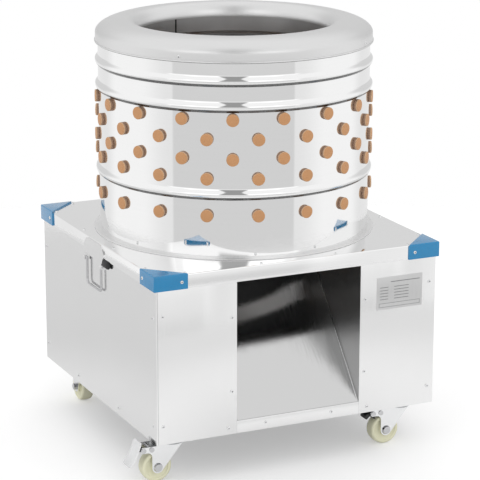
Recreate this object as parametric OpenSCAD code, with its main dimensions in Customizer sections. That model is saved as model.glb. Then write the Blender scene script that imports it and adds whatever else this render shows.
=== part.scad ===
// Drum poultry plucker: a finger-lined drum on a square cabinet with a feather chute, on castors.
// The frame has +Z up, the chute faces -Y, and the origin is on the floor under the drum's axis.

/* [Cabinet] */
// Width and depth of the square deck
deck_w = 616; // [600:1:680]
// Height of the cabinet from its bottom edge to the deck's top
cabinet_h = 338; // [320:1:380]
// Height of the deck's turned-down lip
lip_h = 28.5; // [20:0.5:36]
// Thickness of the deck sheet
deck_t = 1.5; // [1:0.1:2.5]
// Gap between the inside of the lip and the panels
lip_gap = 1.9; // [1:0.1:4]
// Thickness of the panel sheets
panel_t = 1.2; // [0.8:0.1:2]
// Side of the square frame posts
post_w = 25; // [22:1:30]
// Side of the square frame rails
rail_w = 20; // [16:1:22]
// Wall of the posts and rails
tube_t = 1.5; // [1:0.1:2.5]
// Leg of the triangular corner guards
guard_leg = 70; // [50:1:90]
// Thickness of the corner guards
guard_t = 2; // [1:0.1:3]
// Distance of a guard's screws from its corner
guard_screw = 57; // [40:1:62]
// Room along a deck edge between a corner guard and the next screw
deck_screw_clear = 9.5; // [7:0.5:20]
// Spacing of the two screws on each half of a deck edge
deck_screw_pitch = 161; // [120:1:165]
// Distance of the deck screws from the deck's edge
deck_screw_in = 9; // [7:0.5:14]
// Width of the blank name plate
plate_label_w = 103; // [80:1:110]
// Height of the blank name plate
plate_label_h = 67; // [50:1:80]
// Thickness of the name plate
plate_label_t = 0.8; // [0.5:0.1:1.5]

/* [Chute] */
// Width of the chute opening
chute_w = 269.5; // [220:0.5:290]
// Height of the sill strip under the chute
sill_h = 25.8; // [24:0.2:40]
// Distance from the drum's axis to the top edge of the chute floor
chute_back = 50; // [48:1:70]
// Thickness of the chute sheets
chute_t = 1.2; // [0.8:0.1:2]
// Margin between the chute walls and the feather opening in the deck
outlet_margin = 8; // [4:1:20]

/* [Drum] */
// Outside diameter of the drum
drum_d = 550; // [530:1:570]
// Thickness of the drum sheet
drum_t = 1.5; // [1:0.1:2]
// Height of a rolled bead
bead_h = 22; // [12:0.5:24]
// How far a bead stands out
bead_out = 6; // [3:0.1:7]
// Height of the lowest bead's lower edge above the deck
bead_low = 116.7; // [110:0.1:122]
// Height of the middle bead's lower edge above the deck
bead_mid = 288.5; // [288:0.5:296]
// Height of the top bead's lower edge above the deck
bead_top = 338.5; // [330:0.5:350]
// Width of the foot ring round the drum
foot_w = 12; // [8:0.5:18]
// Thickness of the foot ring
foot_t = 2; // [1.5:0.1:4]

/* [Fingers] */
// Fingers in each row
finger_count = 17; // [12:1:17]
// Angle from one finger to the next in a row
finger_step = 20.62; // [18:0.01:21]
// Angle of the front finger, from the front toward the right
finger_turn = -25.4; // [-30:0.1:30]
// Height of the lowest row above the deck
row_low = 86; // [80:0.5:92]
// Height of the first upper row above the deck
row_first = 159; // [154:0.5:162]
// Height between the upper rows
row_pitch = 38.7; // [30:0.1:38.8]
// Diameter of the finger holes
finger_hole_d = 20; // [16:0.5:21]
// Diameter of a finger's head
finger_head_d = 25; // [23:0.5:26]
// Height of a finger's head
finger_head_h = 7.4; // [5:0.1:9]
// Length of a finger inside the wall
finger_len = 78; // [60:1:80]
// Diameter of a finger at its tip
finger_tip_d = 12; // [9:0.5:14]
// Ribs on a finger
finger_ribs = 4; // [3:1:7]

/* [Rim] */
// Height of the rim's hem above the deck
rim_hem = 384.5; // [375:0.5:395]
// Height of the rim's straight skirt
skirt_h = 22.5; // [16:0.5:30]
// Gap between the drum and the skirt
skirt_gap = 3.5; // [2:0.1:6]
// Thickness of the rim sheet
rim_t = 1.5; // [1:0.1:2]
// Rise of the rim from the skirt to its crown
crown_rise = 21; // [16:0.5:30]
// Width of the roll from the crown to the throat
crown_roll = 26.5; // [18:0.5:32]
// Diameter of the throat
throat_d = 385; // [340:1:390]
// Height from the crown down to the top of the collar
roll_h = 28.5; // [20:0.5:34]
// Height of the collar inside the throat
collar_h = 30; // [16:0.5:40]
// Angle of the first rim screw, from the front toward the right
rim_screw_turn = -47; // [-90:1:90]

/* [Feather plate] */
// Diameter of the turning plate
plate_d = 494; // [470:1:505]
// Thickness of the turning plate
plate_t = 3; // [2:0.5:5]
// Height of the plate's underside above the deck
plate_gap = 28; // [24:1:34]
// Distance of the outer finger ring from the plate's edge
ring_out = 82; // [74:1:90]
// Distance of the inner finger ring from the plate's edge
ring_in = 137; // [130:1:145]
// Fingers in the outer ring
ring_out_count = 16; // [10:2:18]
// Fingers in the inner ring
ring_in_count = 10; // [6:2:10]
// Diameter of the centre cone
cone_d = 120; // [100:1:140]
// Height of the centre cone
cone_h = 45; // [40:1:60]
// Thickness of a sweeper blade
sweeper_t = 8; // [5:0.5:12]

/* [Drive] */
// Diameter of the main shaft
shaft_d = 25; // [20:0.5:28]
// Diameter of the driven pulley
pulley_d = 300; // [240:1:310]
// Diameter of the motor pulley
motor_pulley_d = 60; // [54:1:70]
// Distance from the main shaft to the motor shaft
motor_y = 195; // [190:1:205]
// Width of a belt
belt_w = 10; // [8:0.5:12]
// Thickness of a belt
belt_t = 8; // [6:0.5:9]
// Height of the pulleys
pulley_h = 35; // [32:1:38]
// Height of the pulleys' underside above the cabinet's bottom edge
pulley_z = 65; // [55:1:70]
// Diameter of the motor's body
motor_d = 120; // [100:1:124]
// Height of the motor's body
motor_h = 140; // [110:1:150]
// Diameter of the motor shaft
motor_shaft_d = 19; // [14:0.5:22]
// Width of the cross beams
beam_w = 90; // [88:1:95]
// Thickness of the cross beams
beam_t = 8; // [5:0.5:10]
// Height of the lower beam's underside above the cabinet's bottom edge
beam_z = 150; // [146:1:165]
// Side of a flange bearing
bearing_w = 86; // [80:1:88]
// Spacing of a flange bearing's bolts
bearing_pitch = 64; // [60:1:66]

/* [Castors] */
// Height of a castor from the floor to its plate's top
castor_h = 90; // [88:0.5:100]
// Diameter of a wheel
wheel_d = 63; // [55:0.5:64]
// Width of a wheel
wheel_w = 26; // [20:0.5:28]
// Trail of the swivelling front castors
trail = 35; // [33:0.5:40]
// Distance of the front castors' pivots from the deck's edges
castor_in = 55; // [50:1:60]
// Distance of the rear castors from the deck's side edges
rear_in = 66; // [55:1:70]
// Side of a castor's plate
castor_plate_w = 80; // [72:1:84]
// Thickness of the castor's plates and forks
fork_t = 2.5; // [2:0.1:3]
// Diameter of a wheel's axle
axle_d = 8; // [6:0.5:9]

/* [Handles and switch] */
// Width of the bail between its legs
bail_w = 76; // [60:1:84]
// Drop of the bail below its pivot
bail_drop = 53; // [40:1:60]
// Radius of the bail's lower bends
bail_bend = 9; // [6:0.5:14]
// Diameter of the bail's wire
bail_d = 5; // [4:0.5:6]
// Width of the handle's plate
handle_w = 105; // [100:1:120]
// Depth of the pivot below the deck's top
bail_below = 46; // [44:1:50]
// Width of the switch box
switch_w = 80; // [70:1:95]
// Height of the switch box
switch_h = 120; // [105:1:130]
// Depth of the switch box
switch_d = 45; // [38:1:55]
// Wall of the switch box
switch_t = 2.5; // [2:0.1:4]
// Diameter of a button's cap
button_d = 28; // [24:1:32]
// Travel of a button
button_travel = 4; // [2:0.5:5]
// Diameter of the cable gland's bore
gland_bore = 10; // [7:0.5:12]

/* [Hidden] */

// Clearances
run_gap = 0.06;
seat_gap = 0.3;
hole_gap = 0.1;
swivel_gap = 0.3;

// Colours
steel = [0.86, 0.87, 0.88];
polished = [0.93, 0.93, 0.94];
blue = [0.18, 0.52, 0.72];
tan_rubber = [0.78, 0.58, 0.40];
cream = [0.85, 0.83, 0.69];
zinc = [0.88, 0.89, 0.90];
black = [0.07, 0.07, 0.07];
iron = [0.30, 0.32, 0.34];
grey = [0.62, 0.63, 0.65];

// Cabinet planes
half = deck_w / 2;
lip_in = half - deck_t;
panel_out = lip_in - lip_gap;
panel_in = panel_out - panel_t;
post_c = panel_in - post_w / 2;
post_face = panel_in - post_w;
rail_c = panel_in - rail_w / 2;
z_cab = castor_h;
z_deck = castor_h + cabinet_h;
z_under = z_deck - deck_t;
z_lip = z_deck - lip_h;

// Cooling slots in the rear panel
vent_count = 9;
vent_w = 140;
vent_h = 6;
vent_pitch = 14;
vent_drop = 91;

// Chute
chute_half = chute_w / 2;
sill_top = z_cab + sill_h;
chute_angle = atan((z_under - sill_top) / (panel_in - chute_back));
chute_drop = chute_t / cos(chute_angle);
chute_shift = chute_t / sin(chute_angle);

// Screws
screw_head_r = 3.5;
screw_head_h = 1.8;
screw_r = 2;
deck_screw_end = half + 2 * guard_t + deck_screw_in - guard_leg - deck_screw_clear;

// Drum and rim
arc_steps = 8;
drum_r = drum_d / 2;
drum_in = drum_r - drum_t;
skirt_r = drum_r + skirt_gap + rim_t;
hem_out = 2;
hem_h = 4;
throat_r = throat_d / 2;
crown_r = throat_r + crown_roll;
z_skirt = rim_hem + skirt_h;
z_crown = z_skirt + crown_rise;
z_throat = z_crown - roll_h;
crown_in_x = skirt_r - rim_t - crown_r;
crown_in_z = crown_rise - rim_t;
drum_top = lookup(drum_r, quarter([crown_r, z_skirt], crown_in_x, crown_in_z, 90, 0)) - run_gap;

// Fingers
head_r = finger_head_d / 2;
head_edge = 1.5;
neck_r = finger_hole_d / 2 - hole_gap;
flange_r = head_r - 0.5;
flange_h = 4;
body_r = 9.5;
tip_r = finger_tip_d / 2;
rib_depth = 0.8;
rows = [[row_low, 0.5], [row_first, 0.5], [row_first + row_pitch, 0], [row_first + 2 * row_pitch, 0.5],
    [row_first + 3 * row_pitch, 0]];

// Feather plate and shaft
plate_r = plate_d / 2;
z_plate = z_deck + plate_gap;
shaft_r = shaft_d / 2;
hub_r = shaft_r + 22;
hub_lift = 6;
thread_h = 16;
seal_r = shaft_r + 11;
seal_flange = 6;
seal_h = 3;
nut_h = 12;
cone_t = 2;
sweeper_lift = 3;
sweeper_in = hub_r + 12;

// Drive train
z_pulley = z_cab + pulley_z;
z_pulley_top = z_pulley + pulley_h;
z_beam = z_cab + beam_z;
bearing_flange = 13;
bearing_boss = 34;
insert_r = shaft_r + 13;
insert_h = 24;
groove_depth = belt_t + 1;
groove_slack = 0.8;
groove_flare = 3;
belt_lift = 0.4;
pulley_hub_r = shaft_r + 18;
pulley_rim = 25;
pulley_web = 8;
rail_gap = 5;
z_motor_plate = z_pulley_top + rail_gap;
motor_plate_t = 8;
motor_plate_l = 164;
z_motor = z_motor_plate + motor_plate_t;
motor_r = motor_d / 2;
fin_out = 10;
fin_w = 3;
fin_turn = 15;
motor_flange_r = motor_r + 20;
motor_flange_h = 10;
motor_bolt_r = motor_r + 11;
fan_h = 18;
cover_h = 40;
cover_t = 1.5;
bolt_r = 5;
bolt_head_r = 8.5;
bolt_head_h = 6.5;

// Castors
wheel_r = wheel_d / 2;
front_c = half - castor_in;
rear_x = half - rear_in;
fork_in = wheel_w / 2 + 1.5;
fork_out = fork_in + fork_t;
z_fork = castor_h - 14;
race_r = 24;
king_r = 6;
king_flange_r = 10;
king_flange_h = 6;
axle_r = axle_d / 2;
axle_boss = 12;
axle_head_r = 9.5;
axle_head_h = 4;
nut_r = 7.5;
rivet_r = 3;
brake_x = -30;
brake_z = z_fork - 6;
toe_x = -13;
wing_r = z_fork - brake_z;
notch_r = 10;
barrel_r = 4.5;
shoe_aim = atan2(wheel_r - brake_z, -brake_x) - 12;
shoe_reach = norm([brake_x, brake_z - wheel_r]) - wheel_r - 2.2;
shoe_x = shoe_reach * cos(shoe_aim);
shoe_z = shoe_reach * sin(shoe_aim);
pedal_w = 2 * fork_out + 2;
pedal_t = 2.6;
pedal_face = [[-6, 17], [-14, -4], [-20, -17], [-31, -30]];
pedal_back = [for (i = [len(pedal_face) - 1 : -1 : 0]) pedal_face[i] + [pedal_t, 0]];
castor_bolt_pitch = castor_plate_w - 24;

// Handles and switch
z_bail = z_deck - bail_below;
bail_r = bail_d / 2;
bail_off = bail_r + 2.9;
handle_t = 2.5;
handle_top = 3;
handle_corner = 22;
lug_w = 6;
lug_r = bail_r + 3;
stop_w = 30;
stop_h = 15;
stop_t = 9;
switch_y = 150;
switch_z = z_deck - 40 - switch_h;
cover_plate_t = 3;
stem_r = 8;
cap_h = 9;
button_gap = 0.6;
button_pitch = 46;

// A face of the cabinet: children stand outward at a place along the face and a height
module on_side(turn, along, height, out = panel_out)
    rotate([0, 0, turn]) translate([along, -out, height]) rotate([90, 0, 0]) children();

// A sheet in a plane across X: points are [y, z]
module sheet_x(x0, thick, points)
    translate([x0, 0, 0]) rotate([90, 0, 90]) linear_extrude(thick) polygon(points);

// A sheet in a plane across Y: points are [x, z]
module sheet_y(y0, thick, points)
    translate([0, y0 + thick, 0]) rotate([90, 0, 0]) linear_extrude(thick) polygon(points);

// A box from its low corner to its high corner
module span(low, high) translate(low) cube(high - low);

// A square tube standing on its end
module tube(side, length)
    difference() {
        translate([-side / 2, -side / 2, 0]) cube([side, side, length]);
        translate([-side / 2 + tube_t, -side / 2 + tube_t, -1])
            cube([side - 2 * tube_t, side - 2 * tube_t, length + 2]);
    }

// A pan-head screw with its shank through a sheet
module screw(sheet) {
    cylinder(r = screw_head_r, h = screw_head_h, $fn = 32);
    translate([0, 0, -sheet]) cylinder(r = screw_r, h = sheet, $fn = 24);
}

module screw_hole() translate([0, 0, -10]) cylinder(r = screw_r + hole_gap, h = 20, $fn = 24);

// Screw places on a face, as [along, height]
post_screws = [for (s = [-1, 1]) each [[s * post_c, z_deck - 85], [s * post_c, z_cab + 36]]];
side_screws = concat(post_screws, [for (s = [-1, 1]) [s * 111, z_cab + 16]]);
front_screws = [for (s = [-1, 1]) each [[s * post_c, z_deck - 80], [s * post_c, z_cab + 37],
    [s * (chute_half + 10.5), z_deck - 100], [s * (chute_half + 10.5), z_cab + 88],
    [s * (chute_half + 18), z_cab + 13]]];
sill_screws = [for (s = [-1, 1]) [s * chute_half * 0.54, z_cab + 14]];

module deck_screw_places()
    for (turn = [0 : 90 : 270])
        for (s = [-1, 1], k = [0, 1])
            rotate([0, 0, turn])
                translate([s * (deck_screw_end - k * deck_screw_pitch), -half + deck_screw_in, z_deck])
                children();

module guard_screw_places()
    for (turn = [0 : 90 : 270])
        for (s = [-1, 1])
            on_side(turn, s * (half + guard_t - guard_screw), z_deck - lip_h / 2, half + guard_t)
                children();

// Cabinet pieces

module deck_plate() color(steel)
    difference() {
        span([-half, -half, z_lip], [half, half, z_deck]);
        span([-lip_in, -lip_in, z_lip - 1], [lip_in, lip_in, z_under]);
        translate([0, 0, z_under - 1]) cylinder(r = seal_r + hole_gap, h = deck_t + 2, $fn = 48);
        intersection() {
            translate([0, 0, z_under - 1])
                cylinder(r = drum_in - outlet_margin, h = deck_t + 2, $fn = 96);
            span([-chute_half + outlet_margin, -half, z_under - 1],
                [chute_half - outlet_margin, -chute_back - outlet_margin, z_deck + 1]);
        }
        deck_screw_places() screw_hole();
        guard_screw_places() screw_hole();
    }

module corner_guards() color(blue)
    difference() {
        for (turn = [0 : 90 : 270]) rotate([0, 0, turn]) translate([-half - guard_t, -half - guard_t, 0])
            union() {
                translate([0, 0, z_deck]) linear_extrude(guard_t)
                    polygon([[0, 0], [guard_leg, 0], [0, guard_leg]]);
                translate([0, 0, z_lip]) cube([guard_leg, guard_t, lip_h]);
                translate([0, 0, z_lip]) cube([guard_t, guard_leg, lip_h]);
            }
        guard_screw_places() screw_hole();
    }

module front_panel(side) color(steel)
    difference() {
        span([min(side * chute_half, side * panel_out), -panel_out, z_cab],
            [max(side * chute_half, side * panel_out), -panel_in, z_under]);
        for (p = front_screws) on_side(0, p[0], p[1]) screw_hole();
    }

module front_left_panel() front_panel(-1);

module front_right_panel() front_panel(1);

module sill_strip() color(steel)
    difference() {
        span([-chute_half, -panel_out, z_cab], [chute_half, -panel_in, sill_top]);
        for (p = sill_screws) on_side(0, p[0], p[1]) screw_hole();
    }

module side_panel(turn, reach) color(steel)
    difference() {
        rotate([0, 0, turn]) span([-reach, -panel_out, z_cab], [reach, -panel_in, z_under]);
        for (p = side_screws) on_side(turn, p[0], p[1]) screw_hole();
    }

module left_panel() side_panel(-90, panel_in);

module right_panel() side_panel(90, panel_in);

module rear_panel() color(steel)
    difference() {
        side_panel(180, panel_out);
        for (k = [0 : vent_count - 1]) on_side(180, 0, z_deck - vent_drop - k * vent_pitch)
            translate([-vent_w / 2, -vent_h, -10]) cube([vent_w, vent_h, 20]);
    }

module frame_posts() color(grey) {
    for (x = [-1, 1], y = [-1, 0, 1]) translate([x * post_c, y * post_c, z_cab])
        tube(post_w, z_under - z_cab);
}

module frame_rails() color(grey) {
    for (y = [-1, 1])
        translate([-post_face, y * rail_c, z_cab + rail_w / 2]) rotate([0, 90, 0])
            tube(rail_w, 2 * post_face);
    for (x = [-1, 1], y = [-post_face, post_w / 2])
        translate([x * rail_c, y, z_cab + rail_w / 2]) rotate([-90, 0, 0])
            tube(rail_w, post_face - post_w / 2);
    for (x = [-1, 1])
        translate([x * rail_c, post_w / 2, z_motor_plate - rail_w / 2]) rotate([-90, 0, 0])
            tube(rail_w, post_face - post_w / 2);
}

// Places of the bearing bolts, seen from above
module bearing_bolt_places()
    for (x = [-1, 1], y = [-1, 1]) translate([x * bearing_pitch / 2, y * bearing_pitch / 2, 0])
        children();

module cross_beams() color(grey)
    for (z = [z_under - beam_t, z_beam])
        difference() {
            span([-post_face, -beam_w / 2, z], [post_face, beam_w / 2, z + beam_t]);
            translate([0, 0, z - 1]) cylinder(r = shaft_r + 4, h = beam_t + 2, $fn = 48);
            bearing_bolt_places() translate([0, 0, z - 1])
                cylinder(r = bolt_r + hole_gap, h = beam_t + 2, $fn = 32);
        }

module chute_floor() color(steel)
    sheet_x(-chute_half, chute_w, [[-panel_in, sill_top], [-chute_back, z_under],
        [-chute_back + chute_shift, z_under], [-panel_in, sill_top - chute_drop]]);

module chute_walls() color(steel)
    for (x = [-chute_half - chute_t, chute_half])
        sheet_x(x, chute_t, [[-panel_in, sill_top - chute_drop], [-panel_in, z_under],
            [-chute_back + chute_shift, z_under]]);

module name_plate() color(zinc)
    on_side(0, chute_half + 88, z_deck - 93)
        translate([-plate_label_w / 2, -plate_label_h / 2, 0])
            cube([plate_label_w, plate_label_h, plate_label_t]);

module sheet_screws() color(zinc) {
    for (p = front_screws) on_side(0, p[0], p[1]) screw(panel_t);
    for (p = sill_screws) on_side(0, p[0], p[1]) screw(panel_t);
    for (turn = [-90, 90, 180], p = side_screws) on_side(turn, p[0], p[1]) screw(panel_t);
    deck_screw_places() screw(deck_t);
    guard_screw_places() screw(guard_t + deck_t);
    rim_screw_places() screw(rim_t + skirt_gap - run_gap);
}

// Drum pieces

// Points of a bead's arc on the drum wall, from its lower edge up
function bead_arc(low) =
    let (r = (bead_h * bead_h / 4 + bead_out * bead_out) / (2 * bead_out), a = asin(bead_h / 2 / r))
    [for (i = [0 : arc_steps]) let (t = -a + 2 * a * i / arc_steps)
        [drum_r + bead_out - r + r * cos(t), low + bead_h / 2 + r * sin(t)]];

drum_line = concat([[drum_r, 0]], bead_arc(bead_low), bead_arc(bead_mid), bead_arc(bead_top),
    [[drum_r, drum_top]]);

function turned_back(line) = [for (i = [len(line) - 1 : -1 : 0]) line[i]];

// Finger places in the drum wall: children point inward from the wall's outside
module finger_places()
    for (row = rows)
        for (k = [0 : finger_count - 1])
            rotate([0, 0, finger_turn + (k - floor(finger_count / 2) + row[1]) * finger_step])
                translate([0, -drum_r, z_deck + row[0]]) rotate([-90, 0, 0]) children();

module drum_shell() color(polished)
    difference() {
        translate([0, 0, z_deck]) rotate_extrude($fn = 128)
            polygon(concat(drum_line, turned_back([for (p = drum_line) [p[0] - drum_t, p[1]]])));
        finger_places() translate([0, 0, -10]) cylinder(r = finger_hole_d / 2, h = 20, $fn = 32);
    }

module drum_foot_ring() color(polished)
    translate([0, 0, z_deck]) difference() {
        cylinder(r = drum_r + foot_w, h = foot_t, $fn = 128);
        translate([0, 0, -1]) cylinder(r = drum_r, h = foot_t + 2, $fn = 128);
    }

// A quarter of an ellipse about a centre, as points from one angle to another
function quarter(centre, rx, rz, from, to) =
    [for (i = [0 : arc_steps]) let (t = from + (to - from) * i / arc_steps)
        centre + [rx * cos(t), rz * sin(t)]];

rim_line = concat(
    [[skirt_r + hem_out, rim_hem], [skirt_r + hem_out, rim_hem + hem_h],
        [skirt_r, rim_hem + hem_h + hem_out]],
    quarter([crown_r, z_skirt], skirt_r - crown_r, crown_rise, 0, 90),
    quarter([crown_r, z_throat], crown_roll, roll_h, 90, 180),
    [[throat_r, z_throat - collar_h]]);
rim_back = concat(
    [[throat_r + rim_t, z_throat - collar_h]],
    quarter([crown_r, z_throat], crown_roll - rim_t, roll_h - rim_t, 180, 90),
    quarter([crown_r, z_skirt], crown_in_x, crown_in_z, 90, 0),
    [[skirt_r - rim_t, rim_hem]]);

module rim_screw_places()
    for (k = [0 : 3]) rotate([0, 0, rim_screw_turn + 90 * k])
        translate([0, -skirt_r, z_deck + rim_hem + 10]) rotate([90, 0, 0]) children();

module rim_ring() color(polished)
    difference() {
        translate([0, 0, z_deck]) rotate_extrude($fn = 128) polygon(concat(rim_line, rim_back));
        rim_screw_places() screw_hole();
    }

// A plucking finger: its head is outside a wall, its ribbed body inside
function finger_line(wall) =
    let (from = wall + flange_h, to = wall + finger_len - tip_r, pitch = (to - from) / finger_ribs)
    concat(
        [[0, -finger_head_h], [head_r - head_edge, -finger_head_h],
            [head_r, -finger_head_h + head_edge], [head_r, 0], [neck_r, 0], [neck_r, wall],
            [flange_r, wall], [flange_r, from]],
        [for (i = [0 : finger_ribs - 1])
            let (z = from + i * pitch, r = body_r + (tip_r - body_r) * i / finger_ribs)
            each [[r, z], [r - rib_depth, z + 0.9 * pitch]]],
        [for (t = [0 : 45 : 90]) [tip_r * cos(t), to + tip_r * sin(t)]]);

module finger(wall) rotate_extrude($fn = 32) polygon(finger_line(wall));

module drum_fingers() color(tan_rubber) finger_places() finger(drum_t + seat_gap);

// Turning pieces

module ring_places(inset, count)
    for (k = [0 : count - 1]) rotate([0, 0, (k + 0.5) * 360 / count])
        translate([plate_r - inset, 0, z_plate]) children();

module plate_finger_places() {
    ring_places(ring_out, ring_out_count) children();
    ring_places(ring_in, ring_in_count) children();
}

module feather_plate() color(polished)
    difference() {
        union() {
            translate([0, 0, z_plate]) cylinder(r = plate_r, h = plate_t, $fn = 128);
            translate([0, 0, z_deck + hub_lift]) cylinder(r = hub_r, h = plate_gap - hub_lift, $fn = 64);
        }
        translate([0, 0, z_deck]) cylinder(r = shaft_r + run_gap, h = plate_gap + plate_t + 1, $fn = 48);
        plate_finger_places() translate([0, 0, -1])
            cylinder(r = finger_hole_d / 2, h = plate_t + 2, $fn = 32);
    }

module plate_fingers() color(tan_rubber) plate_finger_places() finger(plate_t);

module centre_cone() color(polished)
    translate([0, 0, z_plate + plate_t]) rotate_extrude($fn = 96)
        polygon([[cone_d / 2, 0], [cone_d / 6, cone_h - 4], [0, cone_h], [0, cone_h - cone_t],
            [cone_d / 6 - cone_t, cone_h - 4 - cone_t], [cone_d / 2 - 2 * cone_t, 0]]);

module sweeper_blades() color(black)
    for (turn = [0, 180]) rotate([0, 0, turn])
        span([sweeper_in, -sweeper_t / 2, z_deck + sweeper_lift], [plate_r - 6, sweeper_t / 2, z_plate]);

module main_shaft() color(grey)
    translate([0, 0, z_pulley - 6])
        cylinder(r = shaft_r, h = z_plate + plate_t + thread_h - z_pulley + 6, $fn = 48);

module hub_nut() color(zinc)
    translate([0, 0, z_plate + plate_t]) difference() {
        cylinder(r = shaft_r + 8, h = nut_h, $fn = 6);
        translate([0, 0, -1]) cylinder(r = shaft_r + run_gap, h = nut_h + 2, $fn = 48);
    }

module shaft_seal() color(black)
    difference() {
        union() {
            translate([0, 0, z_under]) cylinder(r = seal_r, h = deck_t, $fn = 48);
            translate([0, 0, z_deck]) cylinder(r = seal_r + seal_flange, h = seal_h, $fn = 48);
        }
        translate([0, 0, z_under - 1]) cylinder(r = shaft_r + run_gap, h = deck_t + seal_h + 2, $fn = 48);
    }

bearing_tops = [z_under - beam_t, z_beam];

module bearing_housings() color(iron)
    for (z = bearing_tops)
        difference() {
            union() {
                translate([-bearing_w / 2, -bearing_w / 2, z - bearing_flange])
                    cube([bearing_w, bearing_w, bearing_flange]);
                translate([0, 0, z - bearing_boss])
                    cylinder(r = insert_r + 8, h = bearing_boss, $fn = 64);
            }
            translate([0, 0, z - bearing_boss - 1])
                cylinder(r = insert_r, h = bearing_boss + 2, $fn = 64);
            bearing_bolt_places() translate([0, 0, z - bearing_flange - 1])
                cylinder(r = bolt_r + hole_gap, h = bearing_flange + 2, $fn = 32);
        }

module bearing_inserts() color(zinc)
    for (z = bearing_tops)
        translate([0, 0, z - bearing_boss + (bearing_boss - insert_h) / 2]) difference() {
            cylinder(r = insert_r, h = insert_h, $fn = 64);
            translate([0, 0, -1]) cylinder(r = shaft_r + run_gap, h = insert_h + 2, $fn = 48);
        }

// Heights of the two belts' middles above the pulleys' underside
belt_rows = [pulley_h * 0.27, pulley_h * 0.73];

// Grooved rim of a pulley, cut from a plain disc
module grooves(outer)
    for (z = belt_rows)
        translate([0, 0, z]) rotate_extrude($fn = 128)
            polygon([[outer - groove_depth, -belt_w / 2 - groove_slack / 2],
                [outer + 1, -belt_w / 2 - groove_slack / 2 - groove_flare * 0.5],
                [outer + 1, belt_w / 2 + groove_slack / 2 + groove_flare * 0.5],
                [outer - groove_depth, belt_w / 2 + groove_slack / 2]]);

module driven_pulley() color(iron)
    translate([0, 0, z_pulley]) difference() {
        union() {
            difference() {
                cylinder(d = pulley_d, h = pulley_h, $fn = 128);
                translate([0, 0, -1])
                    cylinder(r = pulley_d / 2 - pulley_rim, h = pulley_h + 2, $fn = 128);
            }
            translate([0, 0, (pulley_h - pulley_web) / 2])
                cylinder(d = pulley_d - pulley_rim, h = pulley_web, $fn = 96);
            cylinder(r = pulley_hub_r, h = pulley_h, $fn = 64);
        }
        translate([0, 0, -1]) cylinder(r = shaft_r + run_gap, h = pulley_h + 2, $fn = 48);
        grooves(pulley_d / 2);
    }

module motor_pulley() color(iron)
    translate([0, motor_y, z_pulley]) difference() {
        cylinder(d = motor_pulley_d, h = pulley_h, $fn = 96);
        translate([0, 0, -1]) cylinder(r = motor_shaft_d / 2 + run_gap, h = pulley_h + 2, $fn = 48);
        grooves(motor_pulley_d / 2);
    }

// A belt's outline round both pulleys, at a height above the groove's floor
module belt_solid(lift, thick) {
    big = pulley_d / 2 - groove_depth + lift;
    small = motor_pulley_d / 2 - groove_depth + lift;
    lean = asin((big - small) / motor_y);
    cylinder(r = big, h = thick, $fn = 128);
    translate([0, motor_y, 0]) cylinder(r = small, h = thick, $fn = 96);
    linear_extrude(thick) polygon([for (s = [-1, 1]) each s < 0 ?
        [[-big * cos(lean), big * sin(lean)], [-small * cos(lean), motor_y + small * sin(lean)]] :
        [[small * cos(lean), motor_y + small * sin(lean)], [big * cos(lean), big * sin(lean)]]]);
}

module drive_belts() color(black)
    for (z = belt_rows)
        translate([0, 0, z_pulley + z - belt_w / 2]) difference() {
            belt_solid(belt_lift + belt_t, belt_w);
            translate([0, 0, -1]) belt_solid(belt_lift, belt_w + 2);
        }

module motor_shaft() color(grey)
    translate([0, motor_y, z_pulley - 3])
        cylinder(d = motor_shaft_d, h = z_motor + motor_flange_h + motor_h + fan_h + 6 - z_pulley, $fn = 48);

module motor_fan() color(black)
    translate([0, motor_y, z_motor + motor_flange_h + motor_h + 6]) difference() {
        union() {
            cylinder(r = motor_shaft_d / 2 + 8, h = fan_h - 4, $fn = 48);
            for (turn = [0 : 45 : 315]) rotate([0, 0, turn]) translate([motor_shaft_d / 2 + 4, -1.5, 0])
                cube([motor_r - motor_shaft_d / 2 - 14, 3, fan_h - 4]);
        }
        translate([0, 0, -1]) cylinder(r = motor_shaft_d / 2 + run_gap, h = fan_h, $fn = 48);
    }

// Places of the motor's bolts, at the motor's own axis
module motor_bolt_places()
    for (turn = [45 : 90 : 315]) translate([0, motor_y, 0]) rotate([0, 0, turn])
        translate([motor_bolt_r, 0, 0]) children();

module motor_body() color([0.32, 0.42, 0.55])
    difference() {
        union() {
            translate([0, motor_y, z_motor]) cylinder(r = motor_flange_r, h = motor_flange_h, $fn = 96);
            translate([0, motor_y, z_motor + motor_flange_h])
                cylinder(r = motor_r, h = motor_h, $fn = 96);
            for (turn = [0 : fin_turn : 359]) translate([0, motor_y, z_motor + motor_flange_h + 12])
                rotate([0, 0, turn]) translate([motor_r - 3, -fin_w / 2, 0])
                    cube([fin_out + 3, fin_w, motor_h - 24]);
        }
        translate([0, motor_y, z_motor - 1])
            cylinder(r = motor_shaft_d / 2 + run_gap, h = motor_flange_h + motor_h + 2, $fn = 48);
        motor_bolt_places() translate([0, 0, z_motor - 1])
            cylinder(r = bolt_r + hole_gap, h = motor_flange_h + 2, $fn = 32);
    }

module fan_cover() color([0.32, 0.42, 0.55])
    translate([0, motor_y, z_motor + motor_flange_h + motor_h]) difference() {
        cylinder(r = motor_r, h = cover_h, $fn = 96);
        translate([0, 0, -1]) cylinder(r = motor_r - cover_t, h = cover_h - cover_t + 1, $fn = 96);
        for (turn = [0 : 30 : 330]) rotate([0, 0, turn])
            translate([motor_r * 0.3, -2, cover_h - cover_t - 1])
            cube([motor_r * 0.5, 4, cover_t + 2]);
    }

module terminal_box() color(iron)
    translate([motor_r + fin_out, motor_y - 35, z_motor + motor_flange_h + 45]) cube([42, 70, 60]);

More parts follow.
